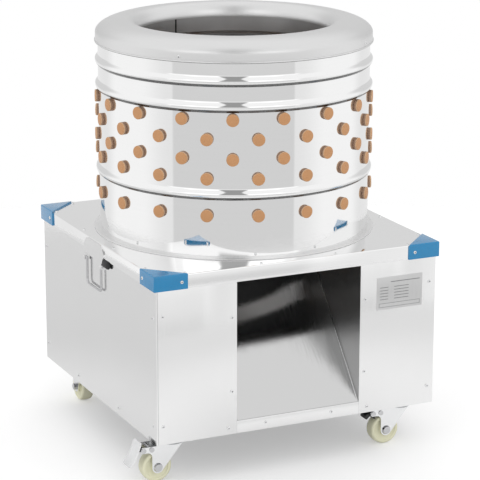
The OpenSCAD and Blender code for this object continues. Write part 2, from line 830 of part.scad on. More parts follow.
module motor_plate() color(grey)
    difference() {
        span([-panel_in + 1, motor_y - motor_plate_l / 2, z_motor_plate],
            [panel_in - 1, min(motor_y + motor_plate_l / 2, post_face - 1), z_motor]);
        translate([0, motor_y, z_motor_plate - 1])
            cylinder(r = motor_shaft_d / 2 + 12, h = motor_plate_t + 2, $fn = 64);
        motor_bolt_places() translate([0, 0, z_motor_plate - 1])
            cylinder(r = bolt_r + hole_gap, h = motor_plate_t + 2, $fn = 32);
    }

// A hexagon bolt with its head below the origin and its shank up through a grip
module bolt(grip) {
    translate([0, 0, -bolt_head_h]) cylinder(r = bolt_head_r, h = bolt_head_h, $fn = 6);
    cylinder(r = bolt_r, h = grip, $fn = 32);
}

module hex_bolts() color(zinc) {
    for (z = bearing_tops) bearing_bolt_places() translate([0, 0, z - bearing_flange])
        bolt(bearing_flange + beam_t);
    motor_bolt_places() translate([0, 0, z_motor + motor_flange_h]) mirror([0, 0, 1])
        bolt(motor_flange_h + motor_plate_t);
    for (side = [-1, 1]) {
        at_front(side) castor_bolt_places() castor_bolt();
        at_rear(side) castor_bolt_places() castor_bolt();
    }
}

// Switch on the right side, away from the chute

// The switch box's own frame: its back on the right panel, its face along +Z
module on_switch() on_side(90, switch_y, switch_z) children();

module button_places(k) translate([0, switch_h / 2 + k * button_pitch / 2, switch_d + cover_plate_t])
    children();

module switch_box() color(grey)
    on_switch() difference() {
        translate([-switch_w / 2, 0, 0]) cube([switch_w, switch_h, switch_d]);
        translate([-switch_w / 2 + switch_t, switch_t, switch_t])
            cube([switch_w - 2 * switch_t, switch_h - 2 * switch_t, switch_d]);
        translate([0, -1, switch_d / 2]) rotate([-90, 0, 0])
            cylinder(r = gland_bore / 2 + 2, h = switch_t + 2, $fn = 32);
    }

module switch_cover() color(grey)
    on_switch() difference() {
        translate([-switch_w / 2, 0, switch_d]) cube([switch_w, switch_h, cover_plate_t]);
        for (k = [-1, 1]) button_places(k) translate([0, 0, -cover_plate_t - 1])
            cylinder(r = stem_r + run_gap, h = cover_plate_t + 2, $fn = 48);
    }

module button(k) on_switch() button_places(k) {
    translate([0, 0, -cover_plate_t - 10])
        cylinder(r = stem_r, h = cover_plate_t + 10 + button_travel + button_gap, $fn = 48);
    translate([0, 0, button_travel + button_gap]) cylinder(d = button_d, h = cap_h, $fn = 48);
}

module start_button() color([0.10, 0.55, 0.22]) button(1);

module stop_button() color([0.75, 0.10, 0.10]) button(-1);

module cable_gland() color(black)
    on_switch() translate([0, 0, switch_d / 2]) rotate([90, 0, 0]) difference() {
        union() {
            translate([0, 0, -switch_t])
                cylinder(r = gland_bore / 2 + 2 - hole_gap, h = switch_t, $fn = 32);
            cylinder(r = gland_bore / 2 + 7, h = 8, $fn = 6);
            translate([0, 0, 8]) cylinder(r = gland_bore / 2 + 4.5, h = 14, $fn = 48);
        }
        translate([0, 0, -switch_t - 1]) cylinder(d = gland_bore, h = switch_t + 24, $fn = 48);
    }

// Bail handles on the left and right sides

// A handle's own frame: its pivot's height is the origin, on the panel's face, outward along +Z
module on_handle(side) on_side(side * 90, 0, z_bail) children();

lug_x = bail_w / 2 + bail_r + 0.6;

module handle_plate() {
    block_low = lug_r + 2;
    plate_low = bail_below - lip_h - hole_gap;
    plate_high = bail_below - handle_top;
    corner_r = handle_corner;
    rise = half - panel_out;
    difference() {
        union() {
            translate([0, 0, rise]) difference() {
                linear_extrude(handle_t) {
                    translate([-handle_w / 2, plate_low])
                        square([handle_w, plate_high - plate_low - corner_r]);
                    translate([-handle_w / 2 + corner_r, plate_low])
                        square([handle_w - 2 * corner_r, plate_high - plate_low]);
                    for (s = [-1, 1]) translate([s * (handle_w / 2 - corner_r), plate_high - corner_r])
                        circle(r = corner_r, $fn = 64);
                }
                translate([-handle_w, plate_low - 2 * corner_r, -1])
                    cube([2 * handle_w, 2 * corner_r, handle_t + 2]);
            }
            translate([-lug_x - lug_w, block_low, 0])
                cube([2 * (lug_x + lug_w), plate_low - block_low, rise + handle_t]);
            for (s = [-1, 1]) translate([s > 0 ? lug_x : -lug_x - lug_w, 0, 0]) {
                translate([0, 0, bail_off]) rotate([0, 90, 0]) cylinder(r = lug_r, h = lug_w, $fn = 48);
                translate([0, -lug_r, 0]) cube([lug_w, 2 * lug_r + 2, bail_off]);
                translate([0, 0, 0]) cube([lug_w, block_low, bail_off + lug_r * 0.6]);
            }
        }
        translate([-handle_w, 0, bail_off]) rotate([0, 90, 0])
            cylinder(r = bail_r + run_gap, h = 2 * handle_w, $fn = 48);
    }
}

module handle_plates() color(zinc) for (side = [-1, 1]) on_handle(side) handle_plate();

module bail_stops() color(black)
    for (side = [-1, 1]) on_handle(side)
        translate([side < 0 ? lug_x + lug_w + 1 : -lug_x - lug_w - 1 - stop_w,
            bail_below - lip_h - stop_h - 0.5, 0])
            cube([stop_w, stop_h, stop_t]);

// A bail hanging from its pivot, with bent lower corners
module bail() translate([0, 0, bail_off]) {
    for (s = [-1, 1]) {
        translate([s * bail_w / 2, 0, 0]) sphere(r = bail_r, $fn = 32);
        translate([s * bail_w / 2, 0, 0]) rotate([0, s * 90, 0])
            cylinder(r = bail_r, h = lug_x + lug_w - bail_w / 2, $fn = 32);
        translate([s * bail_w / 2, -bail_drop + bail_bend, 0]) rotate([-90, 0, 0])
            cylinder(r = bail_r, h = bail_drop - bail_bend, $fn = 32);
        translate([s * (bail_w / 2 - bail_bend), -bail_drop + bail_bend, 0])
            rotate([0, 0, s > 0 ? 270 : 180])
            rotate_extrude(angle = 90, $fn = 48) translate([bail_bend, 0]) circle(r = bail_r, $fn = 32);
    }
    translate([-bail_w / 2 + bail_bend, -bail_drop, 0]) rotate([0, 90, 0])
        cylinder(r = bail_r, h = bail_w - 2 * bail_bend, $fn = 32);
}

module left_bail() color(zinc) on_handle(-1) bail();

module right_bail() color(zinc) on_handle(1) bail();

// Castors

// A front castor's own frame: its pivot at the origin
module at_front(side) translate([side * front_c, -front_c, 0]) children();

module at_rear(side) translate([side * rear_x, front_c, 0]) children();

module castor_bolt_places() for (x = [-1, 1], y = [-1, 1])
    translate([x * castor_bolt_pitch / 2, y * castor_bolt_pitch / 2, castor_h - fork_t]) children();

module castor_plate_blank()
    difference() {
        translate([-castor_plate_w / 2, -castor_plate_w / 2, castor_h - fork_t])
            cube([castor_plate_w, castor_plate_w, fork_t]);
        castor_bolt_places() translate([0, 0, -1])
            cylinder(r = screw_r * 2 + hole_gap, h = fork_t + 2, $fn = 32);
    }

module castor_heads() color(zinc)
    for (side = [-1, 1]) at_front(side) {
        castor_plate_blank();
        translate([0, 0, z_fork + swivel_gap])
            cylinder(r = race_r, h = castor_h - fork_t - z_fork - swivel_gap, $fn = 64);
        translate([0, 0, z_fork - fork_t - 1]) cylinder(r = king_r, h = fork_t + 2, $fn = 48);
        translate([0, 0, z_fork - fork_t - swivel_gap - king_flange_h])
            cylinder(r = king_flange_r, h = king_flange_h, $fn = 48);
    }

module castor_bolt() {
    cylinder(r = screw_r * 2, h = fork_t, $fn = 32);
    translate([0, 0, -5]) cylinder(r = screw_r * 3.4, h = 5, $fn = 6);
}

// A swivelling fork: side plates with a round-ended wing for the brake, and a top plate round the kingpin
module fork() {
    heel = -trail - axle_boss;
    wing = -trail + brake_x;
    wing_low = brake_z - wing_r;
    nose = race_r - 7;
    difference() {
        union() {
            for (y = [-fork_out, fork_in]) {
                sheet_y(y, fork_t, concat([[heel, wheel_r]],
                    quarter([heel - notch_r, wing_low - notch_r], notch_r, notch_r, 0, 90),
                    [[wing, wing_low], [wing, z_fork], [nose, z_fork],
                        [-trail + axle_boss * 0.88, wheel_r - axle_boss * 0.48]]));
                translate([wing, y, brake_z]) rotate([-90, 0, 0])
                    cylinder(r = wing_r, h = fork_t, $fn = 48);
                translate([-trail, y, wheel_r]) rotate([-90, 0, 0])
                    cylinder(r = axle_boss, h = fork_t, $fn = 48);
            }
            span([-trail + toe_x, -fork_in, z_fork - fork_t], [nose, fork_in, z_fork]);
        }
        translate([0, 0, z_fork - fork_t - 1]) cylinder(r = king_r + run_gap, h = fork_t + 2, $fn = 48);
        translate([-trail, -fork_out - 1, wheel_r]) rotate([-90, 0, 0])
            cylinder(r = axle_r, h = 2 * fork_out + 2, $fn = 48);
        for (x = [brake_x, toe_x]) translate([-trail + x, -fork_out - 1, brake_z]) rotate([-90, 0, 0])
            cylinder(r = rivet_r, h = 2 * fork_out + 2, $fn = 32);
    }
}

module front_left_fork() color(zinc) at_front(-1) fork();

module front_right_fork() color(zinc) at_front(1) fork();

// An axle along Y with a round head on its -Y end and a nut on the other
module axle() {
    translate([0, -fork_out, 0]) rotate([-90, 0, 0]) cylinder(r = axle_r, h = 2 * fork_out, $fn = 48);
    translate([0, -fork_out, 0]) rotate([90, 0, 0])
        cylinder(r1 = axle_head_r, r2 = axle_head_r - 2, h = axle_head_h, $fn = 48);
    translate([0, fork_out, 0]) rotate([-90, 0, 0]) cylinder(r = nut_r, h = axle_head_h + 2, $fn = 6);
}

module rivet() {
    translate([0, -fork_out, 0]) rotate([-90, 0, 0]) cylinder(r = rivet_r, h = 2 * fork_out, $fn = 32);
    for (s = [-1, 1]) translate([0, s * fork_out, 0]) rotate([-s * 90, 0, 0])
        cylinder(r = rivet_r + 2, h = 1.8, $fn = 32);
}

module fork_pins(side) at_front(side) translate([-trail, 0, 0]) {
    translate([0, 0, wheel_r]) axle();
    for (x = [brake_x, toe_x]) translate([x, 0, brake_z]) rivet();
}

module front_left_pins() color(zinc) fork_pins(-1);

module front_right_pins() color(zinc) fork_pins(1);

module rear_castor_frames() color(zinc)
    for (side = [-1, 1]) at_rear(side) difference() {
        union() {
            castor_plate_blank();
            for (x = [-fork_out, fork_in]) {
                sheet_x(x, fork_t, [[-axle_boss, wheel_r], [-34, castor_h - fork_t],
                    [34, castor_h - fork_t], [axle_boss, wheel_r]]);
                translate([x, 0, wheel_r]) rotate([0, 90, 0])
                    cylinder(r = axle_boss, h = fork_t, $fn = 48);
            }
        }
        translate([-fork_out - 1, 0, wheel_r]) rotate([0, 90, 0])
            cylinder(r = axle_r, h = 2 * fork_out + 2, $fn = 48);
    }

module rear_axles() color(zinc)
    for (side = [-1, 1]) at_rear(side) translate([0, 0, wheel_r]) rotate([0, 0, -side * 90]) axle();

// A moulded wheel turning about the Z axis
module wheel_form() rotate_extrude($fn = 96)
    polygon(concat(
        [[axle_r + run_gap, -fork_in + 0.5], [10, -fork_in + 0.5], [11, -wheel_w / 2 + 3],
            [wheel_r - 9, -wheel_w / 2 + 3], [wheel_r - 7, -wheel_w / 2]],
        [for (t = [-60 : 20 : 60]) [wheel_r - 4 + 4 * cos(t * 1.5), (wheel_w / 2) * sin(t) / sin(60)]],
        [[wheel_r - 7, wheel_w / 2], [wheel_r - 9, wheel_w / 2 - 3], [11, wheel_w / 2 - 3],
            [10, fork_in - 0.5], [axle_r + run_gap, fork_in - 0.5]]));

module front_wheel(side) color(cream)
    at_front(side) translate([-trail, 0, wheel_r]) rotate([90, 0, 0]) wheel_form();

module rear_wheel(side) color(cream)
    at_rear(side) translate([0, 0, wheel_r]) rotate([0, 90, 0]) wheel_form();

module front_left_wheel() front_wheel(-1);

module front_right_wheel() front_wheel(1);

module rear_left_wheel() rear_wheel(-1);

module rear_right_wheel() rear_wheel(1);

// A brake lever about its rivet: points are [x, z] from the rivet
module brake_lever(width, points)
    difference() {
        union() {
            translate([0, -fork_in + 0.5, 0]) rotate([-90, 0, 0])
                cylinder(r = barrel_r, h = 2 * fork_in - 1, $fn = 48);
            sheet_y(-width / 2, width, points);
            sheet_y(-width / 2, width,
                [[-1.5, 0], [shoe_x - 1.5, shoe_z], [shoe_x + 1.5, shoe_z + 1], [3, 0]]);
        }
        translate([0, -fork_out, 0]) rotate([-90, 0, 0])
            cylinder(r = rivet_r + run_gap, h = 2 * fork_out, $fn = 48);
    }

// The left lever carries a broad pedal, bent outwards, on an arm between the fork's wings
module front_left_brake() color(zinc) at_front(-1) translate([-trail + brake_x, 0, brake_z]) union() {
    brake_lever(24, [[0, 3.5], [-11, 3], [-13, -4], [0, -3.5]]);
    sheet_y(-pedal_w / 2, pedal_w, concat(pedal_face, pedal_back));
}

module front_right_brake() color(black) at_front(1) translate([-trail + brake_x, 0, brake_z])
    brake_lever(20, [[0, 3], [-7, 1], [-14, -4], [-16, -9], [-12, -13], [-6, -8], [0, -3.5]]);

deck_plate();
corner_guards();
front_left_panel();
front_right_panel();
sill_strip();
left_panel();
right_panel();
rear_panel();
frame_posts();
frame_rails();
cross_beams();
chute_floor();
chute_walls();
name_plate();
sheet_screws();
drum_shell();
drum_foot_ring();
rim_ring();
drum_fingers();
feather_plate();
plate_fingers();
centre_cone();
sweeper_blades();
main_shaft();
hub_nut();
shaft_seal();
bearing_housings();
bearing_inserts();
driven_pulley();
drive_belts();
motor_pulley();
motor_shaft();
motor_fan();
motor_body();
fan_cover();
terminal_box();
motor_plate();
hex_bolts();
switch_box();
switch_cover();
start_button();
stop_button();
cable_gland();
handle_plates();
bail_stops();
left_bail();
right_bail();
castor_heads();
front_left_fork();
front_right_fork();
rear_castor_frames();
front_left_pins();
front_right_pins();
rear_axles();
front_left_wheel();
front_right_wheel();
rear_left_wheel();
rear_right_wheel();
front_left_brake();
front_right_brake();
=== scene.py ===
"""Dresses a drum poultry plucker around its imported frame: sheet metal, fingers, castors and stage."""

import math

import bmesh
import bpy
from mathutils import Matrix, Vector


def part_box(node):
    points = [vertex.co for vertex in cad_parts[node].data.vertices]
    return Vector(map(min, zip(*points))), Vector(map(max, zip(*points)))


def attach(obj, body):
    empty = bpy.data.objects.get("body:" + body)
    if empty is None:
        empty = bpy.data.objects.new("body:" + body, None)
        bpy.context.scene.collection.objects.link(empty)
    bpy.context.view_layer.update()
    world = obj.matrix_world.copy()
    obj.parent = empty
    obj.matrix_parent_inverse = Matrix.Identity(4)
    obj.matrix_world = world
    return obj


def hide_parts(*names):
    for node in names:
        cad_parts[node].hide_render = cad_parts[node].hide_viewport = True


bl_info = {
    "name": "Drum plucker looks",
    "version": (1, 0, 0),
    "blender": (4, 5, 0),
    "location": "3D View > Sidebar > Plucker",
    "description": "Dresses a drum poultry plucker around its frame",
    "category": "Object",
}

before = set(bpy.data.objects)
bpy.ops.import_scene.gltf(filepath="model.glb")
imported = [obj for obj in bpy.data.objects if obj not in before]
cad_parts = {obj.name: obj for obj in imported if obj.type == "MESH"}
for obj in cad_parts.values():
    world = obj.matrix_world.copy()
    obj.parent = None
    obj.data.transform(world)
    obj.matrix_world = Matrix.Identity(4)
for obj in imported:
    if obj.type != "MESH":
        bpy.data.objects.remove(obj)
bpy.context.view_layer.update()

X_AXIS = Vector((1, 0, 0))
Y_AXIS = Vector((0, 1, 0))
Z_AXIS = Vector((0, 0, 1))
WHITE = (1.0, 1.0, 1.0)

# Keeps the level part of a vector
GROUND_PLAN = (1.0, 1.0, 0.0)

# Points this close are level with each other, or are one point
LEVEL_LIMIT = 1e-4
MERGE_LIMIT = 1e-6

# The photograph's camera: place in metres, turn to the right of +Y, dip and roll
CAMERA_PLACE = Vector((-1.8206, -3.9078, 1.5558))
CAMERA_TURN = math.radians(25.152)
CAMERA_DIP = math.radians(15.108)
CAMERA_ROLL = math.radians(0.084)
CAMERA_LENS = 161.83
CAMERA_SENSOR = 36.0


def corners_of(node):
    """The lowest and the highest corner of a CAD node."""
    return [Vector(corner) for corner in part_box(node)]


def low(node):
    """The lowest corner of a CAD node."""
    return corners_of(node)[0]


def high(node):
    """The highest corner of a CAD node."""
    return corners_of(node)[1]


def points_of(node):
    """The points of a CAD node."""
    return [vert.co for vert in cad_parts[node].data.vertices]


def off_axis(point):
    """A point's distance from the Z axis."""
    return math.hypot(point.x, point.y)


def widest_at(node, height):
    """The largest distance from the Z axis of a CAD node's points at a height."""
    return max(off_axis(point) for point in points_of(node) if abs(point.z - height) < LEVEL_LIMIT)


def lowest_between(node, near, far):
    """The lowest height of a CAD node between two distances from the Z axis."""
    return min(p.z for p in points_of(node) if near - LEVEL_LIMIT < off_axis(p) < far + LEVEL_LIMIT)


DECK_TOP = high("deck_plate").z
DRUM_RADIUS = widest_at("drum_shell", low("drum_shell").z)


def tint(red, green, blue):
    """A display colour, 0 to 255, as the linear colour that shaders use."""
    parts = [value / 255 for value in (red, green, blue)]
    return tuple(c / 12.92 if c <= 0.04045 else ((c + 0.055) / 1.055) ** 2.4 for c in parts)


def length(name, default, description):
    """A size in metres."""
    return bpy.props.FloatProperty(
        name=name, description=description, default=default, min=0.0, unit="LENGTH", precision=4
    )


def colour(name, default, description):
    """A linear colour."""
    return bpy.props.FloatVectorProperty(
        name=name, description=description, default=default, size=3, min=0.0, max=1.0, subtype="COLOR"
    )


class PluckerSizes(bpy.types.PropertyGroup):
    """Sizes of the dressed pieces."""

    sheet_bend: length("Sheet bend", 0.0022, "Radius of the folded sheet edges")
    deck_sheet: length("Deck sheet", 0.0015, "Thickness of the deck plate")
    guard_sheet: length("Guard sheet", 0.002, "Thickness of the corner guards")
    outlet_half: length("Outlet half width", 0.12675, "Half width of the deck's outlet")
    outlet_back: length("Outlet back", 0.058, "Distance of the outlet's back edge from the drum's axis")
    outlet_reach: length("Outlet reach", 0.2655, "Radius of the outlet's round front edge")
    panel_edge: length("Panel edge", 0.0004, "Rounding of the cut panel edges")
    panel_return: length("Panel return", 0.0032, "Width of the left panel's fold round the front corner")
    panel_gap: length("Panel gap", 0.0004, "Gap between that fold and the front panel")
    chute_sheet: length("Chute sheet", 0.0012, "Thickness of the chute's floor")
    chute_fillet: length("Chute fillet", 0.0016, "Radius of the chute floor's turned-up sides")
    drum_wall: length("Drum wall", 0.0015, "Thickness of the drum and rim sheet")
    bead_rise: length(
        "Bead rise", high("drum_shell").x - DRUM_RADIUS, "How far a rolled bead stands out of the drum"
    )
    bead_height: length("Bead height", 0.022, "Height of a rolled bead")
    bead_low: length("Low bead", 0.1167, "Height of the low bead's foot above the deck")
    bead_middle: length("Middle bead", 0.2885, "Height of the middle bead's foot above the deck")
    bead_high: length("High bead", 0.3385, "Height of the high bead's foot above the deck")
    crown_radius: length("Crown radius", 0.219, "Radius of the rim's highest circle")
    crown_rise: length("Crown rise", 0.026, "Height of the rim's outer curve")
    throat_radius: length("Throat radius", 0.1925, "Inner radius of the rim's collar")
    roll_height: length("Roll height", 0.0285, "Height of the rim's inner curve")
    rim_lap: length("Rim lap", 0.011, "How far the drum's wall reaches up inside the rim")
    hem_radius: length("Hem radius", 0.002, "Radius of the rim's rolled hem")
    finger_head: length("Finger head", 0.0125, "Radius of a finger's head")
    finger_head_height: length("Finger head height", 0.0074, "Height of a finger's head")
    finger_root: length("Finger root", 0.0095, "Radius of a finger's body at its root")
    finger_tip: length("Finger tip", 0.006, "Radius of a finger's tip")
    finger_length: length("Finger length", 0.078, "Length of a finger inside its wall")
    finger_collar: length("Finger collar", 0.004, "Height of the collar inside the wall")
    screw_head: length("Screw head", 0.0035, "Radius of a sheet screw's head")
    screw_height: length("Screw head height", 0.0018, "Height of a sheet screw's head")
    plate_sheet: length("Plate sheet", 0.003, "Thickness of the turning plate")
    wheel_bore: length("Wheel bore", 0.0043, "Radius of a castor wheel's bore")
    wheel_hub: length("Wheel hub", 0.010, "Radius of a castor wheel's hub")
    wheel_width: length("Wheel width", 0.026, "Width of a castor wheel's tread")
    pedal_sheet: length("Pedal sheet", 0.0024, "Thickness of the bent brake pedal")
    pedal_corner: length("Pedal corner", 0.005, "Radius of the brake pedal's corners")


class PluckerFinishes(bpy.types.PropertyGroup):
    """Colours of the finishes."""

    stainless: colour("Stainless", (0.86, 0.86, 0.86), "Brushed sheet steel of the cabinet")
    deck: colour("Deck", (0.93, 0.93, 0.93), "Bright deck plate")
    polished: colour("Polished", (0.90, 0.90, 0.90), "Mirror-polished drum")
    satin: colour("Satin", (0.80, 0.80, 0.80), "Drum's foot ring")
    spun: colour("Spun", (0.74, 0.74, 0.74), "Domed rim")
    # This darker steel goes on the drum's inside, the rim's underside and the collar as painted shade
    dull: colour("Dull", (0.55, 0.55, 0.55), "Steel inside the drum")
    chute: colour("Chute", (0.64, 0.64, 0.64), "Chute floor and walls")
    blue_paint: colour("Blue paint", tint(0, 130, 184), "Corner guards")
    tan_rubber: colour("Tan rubber", tint(201, 150, 104), "Plucking fingers")
    finger_face: colour("Finger face", tint(200, 147, 100), "Faces of the wall fingers")
    # The finger edge and side colours are a painted highlight and painted shade on the tan rubber
    finger_painted_highlight: colour("Finger edge", tint(214, 176, 138), "Pale edges of the wall fingers")
    finger_painted_shade: colour("Finger side", tint(158, 126, 104), "Sides of the wall fingers")
    cream_wheel: colour("Cream nylon", tint(240, 238, 208), "Castor wheels")
    zinc: colour("Zinc", (0.84, 0.845, 0.85), "Plated forks and fasteners")
    chrome: colour("Chrome", (0.58, 0.58, 0.59), "Bails and castor pins")
    plate_metal: colour("Plate metal", (0.62, 0.62, 0.62), "Ruled plate")
    black: colour("Black", (0.018, 0.018, 0.019), "Rubber and moulded black pieces")
    iron: colour("Iron", (0.10, 0.105, 0.11), "Cast bearing housings and pulleys")
    frame_steel: colour("Frame steel", (0.42, 0.43, 0.44), "Posts, rails and beams")
    motor_paint: colour("Motor paint", (0.10, 0.14, 0.18), "Motor body and its covers")
    grey_box: colour("Grey box", (0.46, 0.47, 0.47), "Switch box and cover")
    green_cap: colour("Green cap", (0.02, 0.24, 0.06), "Start button")
    red_cap: colour("Red cap", (0.42, 0.012, 0.012), "Stop button")


# Scales of the brushing and turning marks along the three axes
VERTICAL_GRAIN = (900.0, 900.0, 14.0)
DECK_GRAIN = (14.0, 900.0, 900.0)
CHUTE_GRAIN = (2000.0, 8.0, 8.0)
DRUM_GRAIN = (3.0, 3.0, 260.0)
TURNING_GRAIN = (40.0, 40.0, 1500.0)
PLATE_GRAIN = (500.0, 500.0, 30.0)

# The azimuth and the half width of the dark joint inside the drum
COLLAR_SEAM = math.radians(104)
SEAM_HALF = 0.002

# Dark shades: painted shade for the turning plate's underside, and the colours of that joint and of the
# ruled plate's ink
PAINTED_UNDER_SHADE = (0.03, 0.03, 0.03)
JOINT_SHADE = (0.02, 0.02, 0.02)
INK_SHADE = (0.06, 0.065, 0.07)

# Depth of the turning plate's brushed upper face, below which it is painted near-black as painted shade
PLATE_SKIN = 0.0005

# Heights above the drum's wall where a finger head's side darkened as painted shade, its pale rim as
# painted highlight, and its face begin
FINGER_SIDE = (0.0, 0.0006)
FINGER_RIM = (0.0036, 0.0058)
FINGER_FACE = (0.0066, 0.0072)


class Wire:
    """A socket of a node tree, for use in plain expressions."""

    def __init__(self, tree, socket=None):
        self.tree = tree
        self.socket = socket

    def node(self, kind, settings=None, sockets=None, output=0):
        """Adds a node, sets it up, fills its sockets and returns one of its outputs."""
        made = self.tree.nodes.new(kind)
        for name, value in (settings or {}).items():
            setattr(made, name, value)
        for name, value in (sockets or {}).items():
            if isinstance(value, Wire):
                self.tree.links.new(value.socket, made.inputs[name])
            else:
                made.inputs[name].default_value = value
        return Wire(self.tree, made.outputs[output])

    def math(self, operation, *values):
        """A Math node over numbers and wires."""
        return self.node("ShaderNodeMath", {"operation": operation}, dict(enumerate(values)))

    def vector(self, operation, other=WHITE, output=0):
        """A Vector Math node on this vector and another."""
        return self.node("ShaderNodeVectorMath", {"operation": operation}, {0: self, 1: other}, output)

    def along(self, axis):
        """How far this vector reaches along an axis."""
        return self.vector("DOT_PRODUCT", axis, "Value")

    def __add__(self, other):
        return self.math("ADD", self, other)

    def __radd__(self, other):
        return self.math("ADD", other, self)

    def __sub__(self, other):
        return self.math("SUBTRACT", self, other)

    def __rsub__(self, other):
        return self.math("SUBTRACT", other, self)

    def __mul__(self, other):
        return self.math("MULTIPLY", self, other)

    def __rmul__(self, other):
        return self.math("MULTIPLY", other, self)

    def __gt__(self, other):
        return self.math("GREATER_THAN", self, other)

    def __lt__(self, other):
        return self.math("LESS_THAN", self, other)


def noise(place, scale, detail=3.0):
    """Soft random clouds, from 0 to 1."""
    return place.node("ShaderNodeTexNoise", {}, {"Vector": place, "Scale": scale, "Detail": detail})


def stretched(place, scale):
    """Coordinates scaled apart along the three axes."""
    return place.node("ShaderNodeMapping", {}, {"Vector": place, "Scale": scale})


def step(value, start, end, first=0.0, last=1.0):
    """A smooth step between two levels."""
    sockets = {"Value": value, "From Min": start, "From Max": end, "To Min": first, "To Max": last}
    return value.node("ShaderNodeMapRange", {"interpolation_type": "SMOOTHSTEP"}, sockets)


def from_axis(place):
    """The distance from the Z axis."""
    return place.vector("MULTIPLY", GROUND_PLAN).vector("LENGTH", output="Value")


def between(value, span):
    """One inside a span and none outside it."""
    return (value > span[0]) * (value < span[1])


def mix(factor, first, second):
    """A blend of two colours."""
    ends = [end if isinstance(end, Wire) else (*end, 1.0) for end in (first, second)]
    return factor.node("ShaderNodeMix", {"data_type": "RGBA"}, {0: factor, 6: ends[0], 7: ends[1]}, 2)


def bumped(height, strength, distance):
    """A surface normal raised by a height."""
    sockets = {"Strength": strength, "Distance": distance, "Height": height}
    return height.node("ShaderNodeBump", {}, sockets)


def scaled(shade, factor):
    """A colour made lighter or darker."""
    return tuple(min(1.0, part * factor) for part in shade)


def start_finish(name):
    """A new material and its Object coordinates."""
    material = bpy.data.materials.new(name)
    material.use_nodes = True
    return material, Wire(material.node_tree).node("ShaderNodeTexCoord", output="Object")


def coat(material, sockets):
    """Sets or links the sockets of a material's surface shader."""
    tree = material.node_tree
    shader = tree.nodes["Principled BSDF"]
    for name, value in sockets.items():
        if isinstance(value, Wire):
            tree.links.new(value.socket, shader.inputs[name])
        else:
            shader.inputs[name].default_value = value
    return material


def toned(blend, shade, darkest, lightest):
    """A colour that goes from a darker to a lighter share of itself."""
    return mix(blend, scaled(shade, darkest), scaled(shade, lightest))


def surface(material, base, roughness, normal, metallic=0.0, lacquer=0.0):
    """Gives a material its colour, roughness, relief, metal and lacquer."""
    sockets = {"Base Color": base, "Roughness": roughness, "Normal": normal}
    return coat(material, sockets | {"Metallic": metallic, "Coat Weight": lacquer})


def brushed_finish(name, shade, grain, rough, under=-1.0):
    """Brushed sheet steel with hairlines along the least scaled axis, painted near-black below a height
    as painted shade.
    """
    material, place = start_finish(name)
    hairs = noise(stretched(place, grain), 1.0, 4.0)
    clouds = noise(place, 5.0)
    steel = toned(hairs * 0.6 + clouds * 0.4, shade, 0.95, 1.04)
    # Below the height the colour is painted shade
    base = mix(place.along(Z_AXIS) > under, PAINTED_UNDER_SHADE, steel)
    roughness = rough + (hairs - 0.5) * 0.06 + (clouds - 0.5) * 0.05
    return surface(material, base, roughness, bumped(hairs, 0.03, 0.0001), 1.0)


def mirror_finish(name, shade, rough, grain, depth):
    """Polished sheet with buffing bands of a depth in metres, and smudges."""
    material, place = start_finish(name)
    bands = noise(stretched(place, grain), 1.0, 2.0)
    smudges = step(noise(place, 9.0, 4.0), 0.5, 0.75)
    roughness = rough + bands * 0.02 + smudges * 0.03
    return surface(material, toned(bands, shade, 0.975, 1.0), roughness, bumped(bands, 1.0, depth), 1.0)


def collar_finish(name, shade, rough, seam):
    """Dull sheet inside the drum, darker as painted shade, with one dark upright joint at an azimuth."""
    material, place = start_finish(name)
    clouds = noise(place, 12.0, 4.0)
    aside = place.along((-math.sin(seam), math.cos(seam), 0.0))
    ahead = place.along((math.cos(seam), math.sin(seam), 0.0))
    joint = (aside.math("ABSOLUTE", aside) < SEAM_HALF) * (ahead > 0.0)
    base = mix(joint, toned(clouds, shade, 0.8, 1.2), JOINT_SHADE)
    roughness = rough + (clouds - 0.5) * 0.15
    return surface(material, base, roughness, bumped(clouds, 0.05, 0.0003), 1.0)


def finger_finish(name, paints, rough):
    """Tan rubber whose outer heads have a bright face, a pale edge as painted highlight and sides
    darkened as painted shade.
    """
    material, place = start_finish(name)
    proud = from_axis(place) - DRUM_RADIUS
    mottle = noise(place, 60.0, 4.0)
    body = toned(mottle, paints.tan_rubber, 0.85, 1.12)
    sides = mix(step(proud, *FINGER_SIDE), body, paints.finger_painted_shade)
    edges = mix(step(proud, *FINGER_RIM), sides, paints.finger_painted_highlight)
    face = toned(mottle, paints.finger_face, 0.92, 1.08)
    base = mix(step(proud, *FINGER_FACE), edges, face)
    pores = noise(place, 700.0, 2.0)
    return surface(material, base, rough + (mottle - 0.5) * 0.2, bumped(pores, 0.12, 0.0004))


def spun_finish(name, shade, rough):
    """Spun sheet with fine rings about the Z axis."""
    material, place = start_finish(name)
    sockets = {"W": from_axis(place), "Scale": 1400.0, "Detail": 3.0}
    rings = place.node("ShaderNodeTexNoise", {"noise_dimensions": "1D"}, sockets)
    clouds = noise(place, 7.0)
    base = toned(rings * 0.6 + clouds * 0.4, shade, 0.94, 1.04)
    roughness = rough + (rings - 0.5) * 0.1 + (clouds - 0.5) * 0.1
    return surface(material, base, roughness, bumped(rings, 0.03, 0.0002), 1.0)


def paint_finish(name, shade, rough):
    """Glossy paint with a slight orange peel and thin patches."""
    material, place = start_finish(name)
    peel = noise(place, 420.0, 2.0)
    patches = noise(place, 30.0, 4.0)
    base = toned(patches, shade, 0.88, 1.12)
    roughness = rough + (patches - 0.5) * 0.16
    return surface(material, base, roughness, bumped(peel, 0.06, 0.0004), lacquer=0.6)


def moulded_finish(name, shade, rough, spread, grain):
    """Moulded rubber or plastic with mottling and a fine surface grain."""
    material, place = start_finish(name)
    mottle = noise(place, 55.0, 4.0)
    patches = noise(place, 9.0, 2.0)
    pores = noise(place, grain, 2.0)
    base = toned(mottle * 0.5 + patches * 0.5, shade, 1.0 - spread, 1.0 + spread)
    return surface(material, base, rough + (mottle - 0.5) * 0.2, bumped(pores, 0.12, 0.0004))


